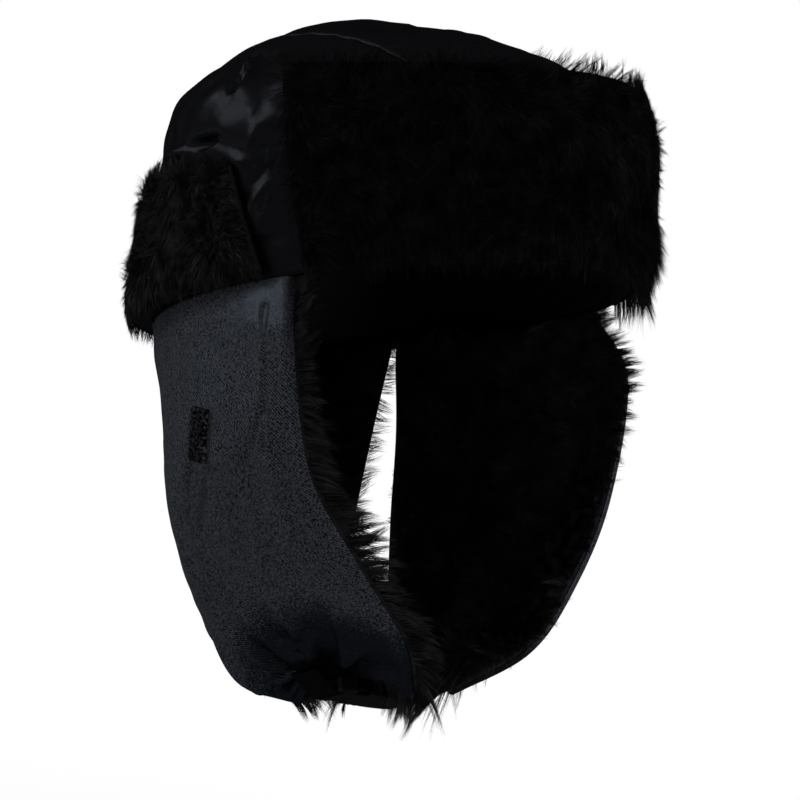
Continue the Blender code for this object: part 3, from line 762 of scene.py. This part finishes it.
def flap_depth(p, q):
    """How deep the undercoat of a hanging flap lies under its satin."""
    full = (1 - (2 * p - 1) ** 8) * (1 - np.clip(2 * q - 1, 0, 1) ** 10)
    return FLAP_FUR_EDGE + (FLAP_FUR_DEPTH - FLAP_FUR_EDGE) * full


def band_fur(name, band, size, comb, facing, seed, columns, finish):
    grown = lambda p, q: band(band_growth(p, q), 2 * p - 1, q)
    hair = hairs(grown, size, 48000, 5000, comb, facing, seed, (5.0, 7.5), 3, 0.16)
    back = field(lambda p, q: band(FUR_BASE, 2 * p - 1, q), 15, columns)
    return fur_piece(name, field(grown, 15, columns), back, hair, [UNDERCOAT, finish])


def band_back(name, band, rows, columns):
    """The satin behind a turned-up band's fur."""
    skins = [field(lambda p, q: band(grow, 2 * p - 1, q), rows, columns) for grow in BAND_BACK_LAYER]
    return closed_sheet(name, *skins, [SATIN])


def visor_comb(p, q):
    across = 2 * p - 1
    far = np.exp(-(((across - 0.6) / 0.3) ** 2)) * smooth(0.5, 0.15, q)
    sideways = 0.3 + 0.7 * np.sign(across) * smooth(0.9, 1.0, np.abs(across))
    upward = 1.0 * smooth(0.72, 1.0, q) - 0.9 * smooth(0.3, 0.0, q) - 0.35
    rise = 0.12 + 0.2 * smooth(0.9, 1.0, q) + 0.8 * far
    top_edge = smooth(0.88, 0.98, q) * (0.4 + 0.7 * np.exp(-(((across + 0.25) / 0.3) ** 2)))
    edge = np.maximum(top_edge, smooth(0.1, 0.02, q))
    share = 1.0 + 0.75 * edge + 1.0 * far + 0.5 * smooth(0.9, 1.0, -across)
    return sideways, upward, rise, share, np.zeros_like(p)


def cuff_comb(p, q):
    across = 2 * p - 1
    sideways = 0.5 * np.sign(across) * smooth(0.92, 1.0, np.abs(across))
    upward = 0.7 * smooth(0.75, 1.0, q) - 0.8 * smooth(0.35, 0.0, q) - 0.35
    share = 1 + 0.12 * smooth(0.12, 0.02, q) - 0.35 * smooth(0.9, 1.0, np.abs(across))
    return sideways, upward, np.full_like(p, 0.12), share, np.zeros_like(p)


def flap_comb(p, q):
    sideways = -1.3 * smooth(0.16, 0.0, p) - 0.3 * smooth(0.85, 1.0, p)
    downward = 1.0 * smooth(0.88, 1.0, q) + 0.22
    rise = 0.42 + 0.3 * smooth(0.2, 0.0, p)
    tip = smooth(0.93, 1.0, q)
    share = 1.0 - 0.3 * smooth(0.06, 0.0, q) + 0.45 * smooth(0.2, 0.0, p) + 0.5 * tip
    share = share * (1.0 - 0.4 * smooth(0.85, 1.0, p) * (1.0 - tip))
    return sideways, downward, rise, share, 10.0 * tip


def flap_fur(word, side):
    grown = lambda p, q: flap(flap_depth(p, q), p, q, side)
    hair = hairs(grown, (FLAP_WIDTH, FLAP_LENGTH), 32000, 2400, flap_comb, side, 31 + side, (8.0, 11.0))
    back = field(lambda p, q: flap(np.full_like(p, FLAP_FUR_BASE), p, q, side), 41, 27)
    return fur_piece(word + "_flap_pile", field(grown, 41, 27), back, hair, [FLAP_UNDERCOAT_PAINTED_LIGHT, FLAP_FUR_PAINTED_LIGHT])


def fringe_comb(p, q):
    low = smooth(0.2, 0.5, q)
    thick = np.exp(-(((q - 0.6) / 0.15) ** 2))
    share = 1.0 + 0.15 * low + 0.4 * thick
    return -1.0 - 0.5 * (1 - low), 0.2 + 0.15 * low, 0.05 + 0.85 * low, share, 3.0 * low


def end_comb(p, q):
    front = smooth(0.5, 0.2, p)
    none = np.zeros_like(p)
    return none, none + 1.0, none, 1.1 + 0.4 * front, 13.0 - 8.0 * smooth(0.72, 0.85, p)


def tuck_comb(p, q):
    none = np.zeros_like(p)
    return none, none + 0.5, none - 0.6, none + 1.0, none + 6.0


def flap_fringe(word, side):
    """Longer hairs that stick out along the flap's front edge and hang from its end."""
    grown = lambda p, q: flap(0.7 * flap_depth(p, q), p, q, side)
    front = lambda p, q: grown(0.004 + 0.16 * p, 0.01 + 0.87 * q)
    end = lambda p, q: grown(0.01 + 0.98 * p, 0.95 + 0.05 * q)
    tuck = lambda p, q: grown(0.40 + 0.34 * p, 0.985 + 0.015 * q)
    sets = [
        hairs(front, (19.0, 165.0), 18000, 460, fringe_comb, side, 35 + side, (11.0, 16.0)),
        hairs(end, (FLAP_WIDTH, 10.0), 9000, 56, end_comb, side, 38 + side, (8.0, 13.0)),
        hairs(tuck, (40.0, 3.0), 2500, 20, tuck_comb, side, 43 + side, (7.0, 10.0)),
    ]
    starts = np.cumsum([0] + [len(made) for made, _ in sets])
    points = np.concatenate([made for made, _ in sets])
    faces = np.concatenate([made + start for (_, made), start in zip(sets, starts)])
    return mesh_piece(word + "_flap_fringe", points, faces, [FLAP_FUR_PAINTED_LIGHT])


def neck_comb(p, q):
    across = 2 * p - 1
    sideways = 0.9 * np.sign(across) * smooth(0.88, 1.0, np.abs(across))
    downward = 1.1 * smooth(0.8, 1.0, q) + 0.25
    return sideways, downward, np.full_like(p, 0.42), 1.0 - 0.25 * smooth(0.1, 0.0, q), np.zeros_like(p)


def neck_fur():
    grown = lambda p, q: neck(flap_depth(p, q), 2 * p - 1, q)
    hair = hairs(grown, (165.0, 74.0), 24000, 1500, neck_comb, 1.0, 41, (8.0, 11.0))
    back = field(lambda p, q: neck(FLAP_FUR_BASE, 2 * p - 1, q), 15, 45)
    return fur_piece("neck_flap_pile", field(grown, 15, 45), back, hair, [FLAP_UNDERCOAT_PAINTED_LIGHT, FLAP_FUR_PAINTED_LIGHT])


# Satin

# Folds over the top of the crown: the points that a fold runs through, its half width and its height
CROWN_FOLDS = (
    (((-40.0, 60.0, 92.0), (-52.0, 40.0, 92.0), (-60.0, 12.0, 93.0)), 5.0, 1.4),
    (((-20.0, -10.0, 110.0), (-34.0, 22.0, 108.0), (-36.0, 58.0, 96.0)), 6.0, 1.6),
)
# Tucks on the crown's right side: the pixels at the two ends of each in the photograph, and its half width
CROWN_TUCKS = (
    ((232, 86), (253, 59), 1.9),
    ((211, 115), (230, 97), 2.6),
    ((245, 144), (262, 105), 3.0),
    ((170, 160), (207, 138), 2.6),
    ((207, 139), (245, 162), 3.8),
    ((252, 215), (269, 150), 3.6),
    ((252, 250), (288, 243), 4.2),
)
TUCK_SWEEP = (39.32, 146.75)  # the stretch of the panel that has them, in degrees from the front
# Creases of the flaps: the pixels that each runs through on the right one, its half width and its height
FLAP_CREASES = (
    (((264, 307), (266, 350), (266, 401), (264, 452)), 1.5, -1.5),
    (((262, 411), (252, 440), (243, 467)), 1.6, -1.8),
    (((189, 423), (190, 470), (189, 524)), 1.8, -1.8),
    (((207, 471), (203, 500), (200, 531)), 1.6, -1.6),
    (((321, 607), (302, 641)), 2.5, -2.2),
    (((321, 607), (331, 649), (335.3, 661.3)), 2.5, -2.0),
    (((265, 630), (289, 636)), 3.0, 1.8),
    (((248, 656), (280, 664), (316, 668)), 3.5, 2.2),
)
CROWN_MIDDLE = np.array([0.0, 0.0, 30.0])


def from_line(points, line):
    """Each point's distance from a run of straight pieces."""
    best = np.full(points.shape[:-1], 1e9)
    for a, b in zip(line[:-1], line[1:]):
        a, b = np.array(a), np.array(b)
        t = np.clip(((points - a) @ (b - a)) / ((b - a) @ (b - a)), 0.0, 1.0)
        best = np.minimum(best, np.linalg.norm(points - a - t[..., None] * (b - a), axis=-1))
    return best


def crown_folds(points, tucks):
    """The crown's folds and tucks, which are shallower and a little further forward on its left."""
    out = np.zeros(points.shape[:-1])
    for side, forward, share in ((1.0, 0.0, 1.0), (-1.0, 4.0, 0.8)):
        mirror = np.array([side, 1.0, 1.0])
        seen = points * mirror + np.array([0.0, forward, 0.0])
        for line, width, height in CROWN_FOLDS:
            off = from_line(seen, line) / width
            out = out + share * height * (np.exp(-(off**2)) - 0.35 * np.exp(-((off - 2.0) ** 2)))
        for place, run, half_length, half_width, slope in tucks:
            off = seen - place
            along = off @ run
            across = np.sqrt(np.maximum((off**2).sum(-1) - along**2, 0.0))
            window = np.exp(-((along / half_length) ** 4) - (across / half_width) ** 4)
            out = out + share * (off @ slope) * window
    return out


def crown_sag(points):
    """The satin sinks at the shoulder behind the ears and bulges over the cuff."""
    behind = smooth(-30.0, 30.0, points[..., 1])
    low = np.exp(-(((points[..., 2] - 64.0) / 15.0) ** 2))
    high = np.exp(-(((points[..., 2] - 94.0) / 12.0) ** 2))
    return behind * (3.6 * low - 1.8 * high)


def side_grid(side, first, last, stations, count):
    """Lines of a side panel from the hem up to its seam, closer together at the panel's ends."""
    ends = np.cos(np.linspace(0.0, math.pi, stations))
    angles = side * ((first + last) / 2 - (last - first) / 2 * ends)
    return np.array([crown_side_line(SATIN_LAYER, a, SEAM_X + SEAM_GAP, count) for a in angles])


def from_seam(grid):
    return np.abs(np.abs(grid[..., 0]) - SEAM_X)


def satin_freedom(grid):
    """0 where the hem and the seams hold the satin, 1 further away."""
    height = grid[..., 2] - hem_height(grid[..., 1])
    return smooth(4.0, 20.0, height) * smooth(1.0, 14.0, from_seam(grid))


def broad_slack(grid):
    return 0.35 * waves(grid * np.array([1.0, 1.0, 0.6]), 42.0, 51) + crown_sag(grid)


def crown_tucks():
    """Each tuck's place, the way it runs, its half length, half width and slope.

    A tuck's slope turns the satin so that it mirrors the key lamp to the camera.
    """
    grid = side_grid(-1, *np.radians(TUCK_SWEEP), 361, 191)
    normal = grid_normals(grid, grid - CROWN_MIDDLE)
    grid = grid + normal * (satin_freedom(grid) * broad_slack(grid))[..., None]
    normal = grid_normals(grid, grid - CROWN_MIDDLE)
    lamp_place = from_hat(*KEY_LAMP) / MM
    tucks = []
    for start, end, half_width in CROWN_TUCKS:
        middle = seen_at(grid, ((start[0] + end[0]) / 2, (start[1] + end[1]) / 2))
        place, out = grid[middle], normal[middle]
        run = grid[seen_at(grid, end)] - grid[seen_at(grid, start)]
        mirror = unit(unit(lamp_place - place) + unit(EYE - place))
        tucks.append((place, unit(run), np.linalg.norm(run) / 2, half_width, out - mirror / (mirror @ out)))
    return tucks


def crown_satin():
    """The three satin panels, drawn in at their seams and slack between them."""
    hem_x = (SEAM_X + SEAM_GAP) * 1.0005
    sweep = [math.acos(-hem_share(HEAD_HALF_WIDTH + SATIN_LAYER, hem_x, end)) for end in (-1.0, 1.0)]
    stations = np.linspace(-SEAM_X, SEAM_X, 47)
    grids = {
        "center": np.array([crown_center_line(SATIN_LAYER, x, 141) for x in stations]),
        "right": side_grid(-1, *sweep, 221, 111),
        "left": side_grid(1, *sweep, 221, 111),
    }
    tucks = crown_tucks()
    for word, grid in grids.items():
        normal = grid_normals(grid, grid - CROWN_MIDDLE)
        pucker = 1 + 0.3 * np.sin(grid[..., 1] / 2.3)
        drawn = -SEAM_DEPTH * np.exp(-((from_seam(grid) / SEAM_HALF_WIDTH) ** 2)) * pucker
        free = satin_freedom(grid)
        slack = broad_slack(grid) + 0.24 * waves(grid, 15.0, 52)
        moved = grid + normal * (drawn + free * slack)[..., None]
        moved = moved + normal * (free * crown_folds(moved, tucks))[..., None]
        piece = closed_sheet("crown_" + word + "_satin", moved, moved - normal * SATIN_THICKNESS, [SATIN])
        sew(piece, "crown", "crown_" + word + "_panel")


def crown_seams():
    """The seams' allowances, folded under the satin on both sides of each seam."""
    for word, side in (("right", -1), ("left", 1)):
        stations = side * SEAM_X + np.linspace(-SEAM_ALLOWANCE, SEAM_ALLOWANCE, 9)
        layers = [[crown_center_line(grow, x, 141) for x in stations] for grow in SEAM_LAYER]
        outer, inner = np.array(layers)
        piece = closed_sheet(word + "_crown_seam", outer, inner, [SATIN])
        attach(piece, "crown")


def edge_drop(distance, radius):
    """How far a padded edge falls away, at distances in from it."""
    left = np.clip(radius - distance, 0.0, radius)
    return radius - np.sqrt(np.maximum(radius**2 - left**2, 0.0))


def turned_in(distance):
    """How far a flap's satin is turned in over its edge, at distances in from it."""
    return EDGE_TURNED_IN * smooth(EDGE_TURN_REACH, 0.0, distance)


STRAP_ROOT = (0.58, 0.93)
GATHER_COUNT = 11
GATHER_HEIGHT = 3.2
TUNNEL_HEIGHT = 3.0  # of the satin over the strap's sewn end


def strap_gathers(place, side):
    """Folds that spread from the place where the strap draws the flap in."""
    across, along = np.array(STRAP_ROOT[0]), np.array(STRAP_ROOT[1])
    root, out = flap_frame(across, along, side)
    forward = unit(flap_surface(across - 0.2, along, side) - flap_surface(across + 0.2, along, side))
    away = place - root
    reach = np.linalg.norm(away, axis=-1)
    turn = np.arctan2(away @ np.cross(forward, out), away @ forward)
    folds = np.sin(turn * GATHER_COUNT + 0.9 * np.sin(turn * 2.0 + 0.6) + 0.5 * waves(place, 60.0, 61))
    strength = smooth(4.0, 16.0, reach) * (1 - smooth(22.0, 60.0, reach))
    return GATHER_HEIGHT * folds * strength


def flap_creases(place, side):
    v, u = np.meshgrid(np.linspace(0, 1, 401), np.linspace(0, 1, 301), indexing="ij")
    right_flap = flap_surface(u, v, -1)
    out = np.zeros(place.shape[:-1])
    for pixels, half_width, height in FLAP_CREASES:
        line = [right_flap[seen_at(right_flap, pixel)] * np.array([-side, 1.0, 1.0]) for pixel in pixels]
        out = out + height * np.exp(-((from_line(place, line) / half_width) ** 2))
    return out


def flap_satin(word, side):
    rows, columns = 181, 111
    v, u = np.meshgrid(np.linspace(0, 1, rows), np.linspace(0, 1, columns), indexing="ij")
    place, out = flap_frame(u, v, side)
    fold = flap_fold(u, v) + strap_gathers(place, side) + flap_creases(place, side)
    soft = waves(place * np.array([1.0, 1.0, 0.5]), 45.0, 62) * 0.35 + waves(place, 15.0, 63) * 0.12
    fold = fold + soft * smooth(0.0, 0.12, v)
    edge = np.minimum(np.minimum(u, 1 - u) * FLAP_WIDTH, (1 - v) * FLAP_LENGTH)
    tunnel = np.exp(-(((u - 0.5) / 0.085) ** 4) - ((v - 0.795) / 0.042) ** 4)
    fold = fold * (1 - tunnel) + TUNNEL_HEIGHT * tunnel
    fold = fold * smooth(0.0, EDGE_FREE, edge) - edge_drop(edge, EDGE_RADIUS)
    outer = place + out * fold[..., None]
    inner = place - out * (FLAP_SATIN_DEPTH + turned_in(edge))[..., None]
    for grid in (outer, inner):
        grid[0, :, 2] = hem_height(grid[0, :, 1]) - FLAP_TOP_GAP
    piece = closed_sheet(word + "_flap_satin", outer, inner, [FLAP_SATIN_PAINTED_SHEEN])
    return piece


def neck_satin():
    d, a = np.meshgrid(np.linspace(0, 1, 51), np.linspace(-1, 1, 91), indexing="ij")
    outer = neck(0.0, a, d)
    inner = neck(FLAP_SATIN_DEPTH, a, d)
    normal = unit(outer - inner)
    edge = np.minimum((1 - np.abs(a)) * 85.0, (1 - d) * 75.0)
    free = smooth(0.0, 0.2, d) * smooth(0.0, EDGE_FREE, edge)
    soft = 0.9 * waves(outer * np.array([1.0, 1.0, 0.4]), 32.0, 71) * free
    outer = outer + normal * (soft - edge_drop(edge, EDGE_RADIUS))[..., None]
    inner = inner - normal * turned_in(edge)[..., None]
    piece = closed_sheet("neck_flap_satin", outer, inner, [FLAP_SATIN_PAINTED_SHEEN])
    return piece


def inner_pad(name, surface, layer, rows, columns, finish):
    """A layer that lies hidden between two others."""
    trim = lambda x: 0.045 + 0.91 * x
    skins = [field(lambda p, q: surface(depth, trim(p), trim(q)), rows, columns) for depth in layer]
    outer, inner = skins
    soft = waves(outer, 20.0, 81)[..., None] * 0.2 * unit(outer - inner)
    piece = closed_sheet(name, outer, inner + soft, [finish])
    return piece


def dome_piece(name, layer, finish, quilted):
    """A lining or wadding dome of two skins."""
    angles = np.linspace(0, 2 * math.pi, 73)
    inner, outer = (np.array([crown_side_line(grow, a, 0.0, 34) for a in angles]) for grow in layer)
    if quilted:
        normal = grid_normals(inner, CROWN_MIDDLE - inner)
        seam = from_seam(inner)
        inner = inner + normal * (0.5 * np.exp(-(seam / 1.6) ** 2))[..., None]
        inner = inner + normal * (0.5 * waves(inner, 26.0, 91) * smooth(2.0, 20.0, seam))[..., None]
    piece = closed_sheet(name, outer, inner, [finish])
    return piece


def piping(name, line, radius, finish):
    """A satin-covered edge along a line."""
    along = unit(np.gradient(line, axis=0))
    side = unit(np.cross(along, np.array([0.0, 0.0, 1.0]) + 0.01))
    other = np.cross(along, side)
    around = np.linspace(0, 2 * math.pi, 13)
    ring = np.cos(around)[None, :, None] * side[:, None] + np.sin(around)[None, :, None] * other[:, None]
    end = np.minimum(np.arange(len(line)), np.arange(len(line))[::-1])
    taper = np.sqrt(np.clip((end + 0.2) / 3.0, 0.05, 1.0))[:, None, None]
    grid = line[:, None] + ring * radius * taper
    return mesh_piece(name, grid.reshape(-1, 3), grid_faces(*grid.shape[:2]), [finish], uv=grid_uv(grid))


# The hem's section: how far off the head and how far above the hem line each of its points lies
HEM_SECTION = (
    (-0.4, 0.0), (-0.4, -0.45), (2.0, -0.62), (5.0, -0.62),
    (7.2, -0.45), (7.3, 0.0), (3.0, 0.4), (-0.4, 0.0),
)


def hem_ring():
    """The turned-in edge where the crown's satin meets its lining."""
    angle = np.linspace(0.0, 360.0, 145)
    rings = [wall(grow, angle, 1.0, -HEM_CLEARANCE + rise) for grow, rise in HEM_SECTION]
    grid = np.stack(rings, axis=1)
    faces = grid_faces(*grid.shape[:2])
    piece = mesh_piece("crown_hem", grid.reshape(-1, 3), faces, [SATIN], uv=grid_uv(grid))
    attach(piece, "crown")


# Strap, patch and buckle

def buckle_matrix():
    turn = [math.radians(t) for t in BUCKLE_TURN]
    matrix = Matrix.Rotation(turn[1], 4, "Y") @ Matrix.Rotation(turn[0], 4, "X")
    return Matrix.Translation(BUCKLE_CENTER) @ matrix


def strap_piece(word, side):
    matrix = buckle_matrix()
    v = np.array(STRAP_ON_FLAP)
    place, out = flap_frame(np.full_like(v, 0.5), v, side)
    sewn = place + out * STRAP_LIFT
    turn = [np.array(matrix @ Vector((side * x, 0.0, z))) for x, z in STRAP_TURN]
    line = evenly(spline(np.concatenate([sewn, turn]), np.linspace(0, 1, 600)), 120)
    width = np.array(matrix.to_3x3() @ Vector((0.0, 1.0, 0.0)))
    normal = unit(np.cross(np.gradient(line, axis=0), width))
    w, h = STRAP_HALF_WIDTH, STRAP_HALF_THICKNESS
    upper = [
        (-w, 0), (-w + 0.25, h * 0.75), (-w + 0.8, h), (0, h), (w - 0.8, h), (w - 0.25, h * 0.75), (w, 0),
    ]
    section = upper + [(-a, -b) for a, b in upper[1:]]
    grid = np.stack([line + width * a + normal * b for a, b in section], axis=1)
    points = np.concatenate([grid.reshape(-1, 3), line[:1], line[-1:]])
    columns = len(section)
    faces = grid_faces(len(line), columns)
    count = len(line) * columns
    ring = np.arange(columns - 1)
    last = (len(line) - 1) * columns
    caps = np.concatenate([
        np.stack([np.full(columns - 1, count), ring + 1, ring], axis=1),
        np.stack([np.full(columns - 1, count + 1), last + ring, last + ring + 1], axis=1),
    ])
    uv = np.concatenate([grid_uv(grid), np.zeros((2, 2))])
    piece = mesh_piece(word + "_webbing", points, [faces, caps], [WEBBING], uv=uv)
    sew(piece, word + "_flap", word + "_strap")


def patch_piece(word, side):
    """The loop tape: a thin pad with small loops standing on it."""
    place, out = flap_frame(np.array(PATCH_ACROSS), np.array(PATCH_ALONG), side)
    up = np.array([0.0, 0.0, 1.0])
    up = unit(up - out * (up @ out))
    along = np.cross(up, out)
    width, height, thickness = PATCH_SIZE
    base = place + out * PATCH_STAND_OFF
    columns, rows = 15, 29
    b, a = np.meshgrid(np.linspace(-1, 1, rows), np.linspace(-1, 1, columns), indexing="ij")
    x, y = a * width / 2, b * height / 2
    edge = np.minimum((1 - np.abs(a)) * width / 2, (1 - np.abs(b)) * height / 2)
    crown = thickness - edge_drop(edge, 0.9) + 0.08 * waves(np.stack([x, y, x * 0], -1), 1.6, 95)
    flat = base + along * x[..., None] + up * y[..., None]
    top = flat + out * crown[..., None]
    low = flat - out * PATCH_SINK
    rng = np.random.default_rng(97 + side)
    count = 1500
    lx = rng.uniform(-width / 2 + 0.5, width / 2 - 0.5, count)
    ly = rng.uniform(-height / 2 + 0.5, height / 2 - 0.5, count)
    turn = rng.uniform(0, math.pi, count)
    span = rng.uniform(0.3, 0.6, count)
    tall = rng.uniform(0.5, 1.1, count)
    t = np.linspace(0, math.pi, 6)
    dx = np.cos(t)[None] * (span * np.cos(turn))[:, None]
    dy = np.cos(t)[None] * (span * np.sin(turn))[:, None]
    dz = np.sin(t)[None] * tall[:, None] + thickness - 0.2
    line = base + along * (lx[:, None] + dx)[..., None] + up * (ly[:, None] + dy)[..., None]
    line = line + out * dz[..., None]
    across = unit(rng.normal(size=(count, 1, 3))) * 0.06
    loops = np.stack([line - across, line + across], axis=2).reshape(-1, 3)
    body = sheet_faces(rows, columns, turned_out(top, low))
    points = np.concatenate([top.reshape(-1, 3), low.reshape(-1, 3), loops])
    faces = np.concatenate([body, ribbon_faces(count, len(t)) + 2 * rows * columns])
    piece = mesh_piece(word + "_loop_tape", points, faces, [LOOPS_WITH_PAINTED_GLINTS])
    sew(piece, word + "_flap", word + "_loop_patch")


# Putting the hat together

crown_satin()
crown_seams()
hem_ring()
padding = dome_piece("crown_padding", WADDING_LAYER, WADDING, False)
sew(padding, "crown", "crown_wadding")
sew(dome_piece("crown_inside", LINING_LAYER, LINING, True), "crown", "crown_lining")

fur = band_fur("visor_pile", visor, (270.0, 75.0), visor_comb, 1.0, 11, 61, FUR)
sew(fur, "visor", "visor_fur")
sew(band_back("visor_back", visor, 25, 81), "visor", "visor_backing")
upright = lambda grow, p, q: visor(grow, 2 * p - 1, q)
stiffener = inner_pad("visor_stiffener", upright, (8.7, 9.5), 15, 51, STIFFENER)
sew(stiffener, "visor", "visor_interlining")

fur = band_fur("rear_cuff_pile", cuff, (375.0, 52.0), cuff_comb, -1.0, 23, 81, CUFF_FUR_PAINTED_LIGHT)
sew(fur, "crown", "rear_cuff_fur")
sew(band_back("rear_cuff_back", cuff, 21, 101), "crown", "rear_cuff_backing")
for word, end in (("right", -1.0), ("left", 1.0)):
    q = np.linspace(0.0, 1.0, 50)
    piece = piping(word + "_cuff_piping", cuff(10.2, np.full_like(q, end * 1.004), q), 0.9, SATIN)
    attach(piece, "crown")

for word, side in (("right", -1), ("left", 1)):
    hanging = lambda depth, p, q: flap(depth, p, q, side)
    satin = flap_satin(word, side)
    padding = inner_pad(word + "_flap_padding", hanging, FLAP_WADDING_LAYER, 91, 45, WADDING)
    hang_flap(word, satin, padding, flap_fur(word, side))
    hang(flap_fringe(word, side))
    strap_piece(word, side)
    patch_piece(word, side)

hanging = lambda depth, p, q: neck(depth, 2 * p - 1, q)
satin = neck_satin()
padding = inner_pad("neck_flap_padding", hanging, FLAP_WADDING_LAYER, 51, 61, WADDING)
hang_flap("neck", satin, padding, neck_fur())

for name in ("buckle_socket", "buckle_plug", "buckle_arm_front", "buckle_arm_rear"):
    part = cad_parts[name]
    part.data.materials.clear()
    part.data.materials.append(PLASTIC)


# Camera, light and floor

SENSOR_WIDTH = 36.0
data = bpy.data.cameras.new("camera")
data.sensor_width = SENSOR_WIDTH
data.lens = PIXELS_PER_MM * CAMERA_DISTANCE / PHOTO_SIZE * SENSOR_WIDTH
data.clip_start = 0.05
data.clip_end = 20.0
camera = bpy.data.objects.new("camera", data)
pose = np.eye(4)
pose[:3, 0], pose[:3, 1], pose[:3, 2] = CAMERA_RIGHT, CAMERA_UP, CAMERA_BACK
pose[:3, 3] = EYE * MM
camera.matrix_world = Matrix(pose.tolist())
bpy.context.scene.collection.objects.link(camera)
bpy.context.scene.camera = camera


def lamp(name, sideways, upward, forward, size, power):
    """A soft lamp, placed from the hat in metres."""
    light = bpy.data.lights.new(name, "AREA")
    light.shape = "DISK"
    light.size = size
    light.energy = power
    made = bpy.data.objects.new(name, light)
    place = Vector(from_hat(sideways, upward, forward).tolist())
    made.location = place
    made.rotation_mode = "QUATERNION"
    made.rotation_quaternion = (Vector((0.0, 0.0, -0.02)) - place).to_track_quat("-Z", "Y")
    bpy.context.scene.collection.objects.link(made)


lamp("key", *KEY_LAMP, 0.32, 11.0)
lamp("side", -1.28, -0.15, -0.40, 1.2, 5.5)
lamp("fill", 1.25, 0.10, 0.10, 0.9, 12.0)
lamp("top", -0.3, 1.35, 0.5, 0.6, 3.0)
lamp("low", -0.6, -0.5, 1.1, 0.6, 7.0)
lamp("under", -0.70, -0.95, -0.45, 0.3, 6.0)


def seen_plainly(tree):
    """1 where the camera sees a thing, also by reflection, and 0 where it only sends light."""
    rays = tree.nodes.new("ShaderNodeLightPath").outputs
    value = rays["Is Camera Ray"]
    for name in ("Is Glossy Ray", "Is Transmission Ray"):
        either = tree.nodes.new("ShaderNodeMath")
        either.operation = "MAXIMUM"
        tree.links.new(value, either.inputs[0])
        tree.links.new(rays[name], either.inputs[1])
        value = either.outputs["Value"]
    return value


WORLD_LIGHT = 0.45
world = bpy.data.worlds.new("studio")
world.use_nodes = True
bpy.context.scene.world = world
tree = world.node_tree
back = tree.nodes["Background"]
back.inputs["Color"].default_value = (1.0, 1.0, 1.0, 1.0)
level = tree.nodes.new("ShaderNodeMapRange")
level.inputs["To Min"].default_value = WORLD_LIGHT
level.inputs["To Max"].default_value = 1.0
tree.links.new(seen_plainly(tree), level.inputs["Value"])
tree.links.new(level.outputs["Result"], back.inputs["Strength"])

# The floor keeps the hat's shadow near it and fades into the white background further away
FLOOR_HALF_SIDE = 6000.0
FLOOR_HEIGHT = -420.0
corners = ((-1, -1), (1, -1), (1, 1), (-1, 1))
floor_points = [(x * FLOOR_HALF_SIDE, y * FLOOR_HALF_SIDE, FLOOR_HEIGHT) for x, y in corners]
studio = Nodes("studio_floor")
studio.shader.inputs["Roughness"].default_value = 0.9
place = studio.coordinates("Object")
pale = studio.ramp(studio.noise(place, 3.0), 0.2, 0.8, (0.86, 0.86, 0.86), (0.90, 0.90, 0.90))
studio.link(pale, studio.shader.inputs["Base Color"])
glow = studio.add("ShaderNodeEmission")
away = studio.add("ShaderNodeVectorMath", operation="LENGTH")
studio.link(place, away.inputs[0])
share = studio.fade(away.outputs["Value"], 0.45, 1.3, 0.55)
studio.mix(studio.math("MULTIPLY", share, seen_plainly(studio.tree)), glow.outputs["Emission"])
floor = mesh_piece("floor", floor_points, np.array([[0, 1, 2, 3]]), [studio.material], shaded=False)

bpy.context.scene.view_settings.view_transform = "Standard"

bpy.context.view_layer.update()
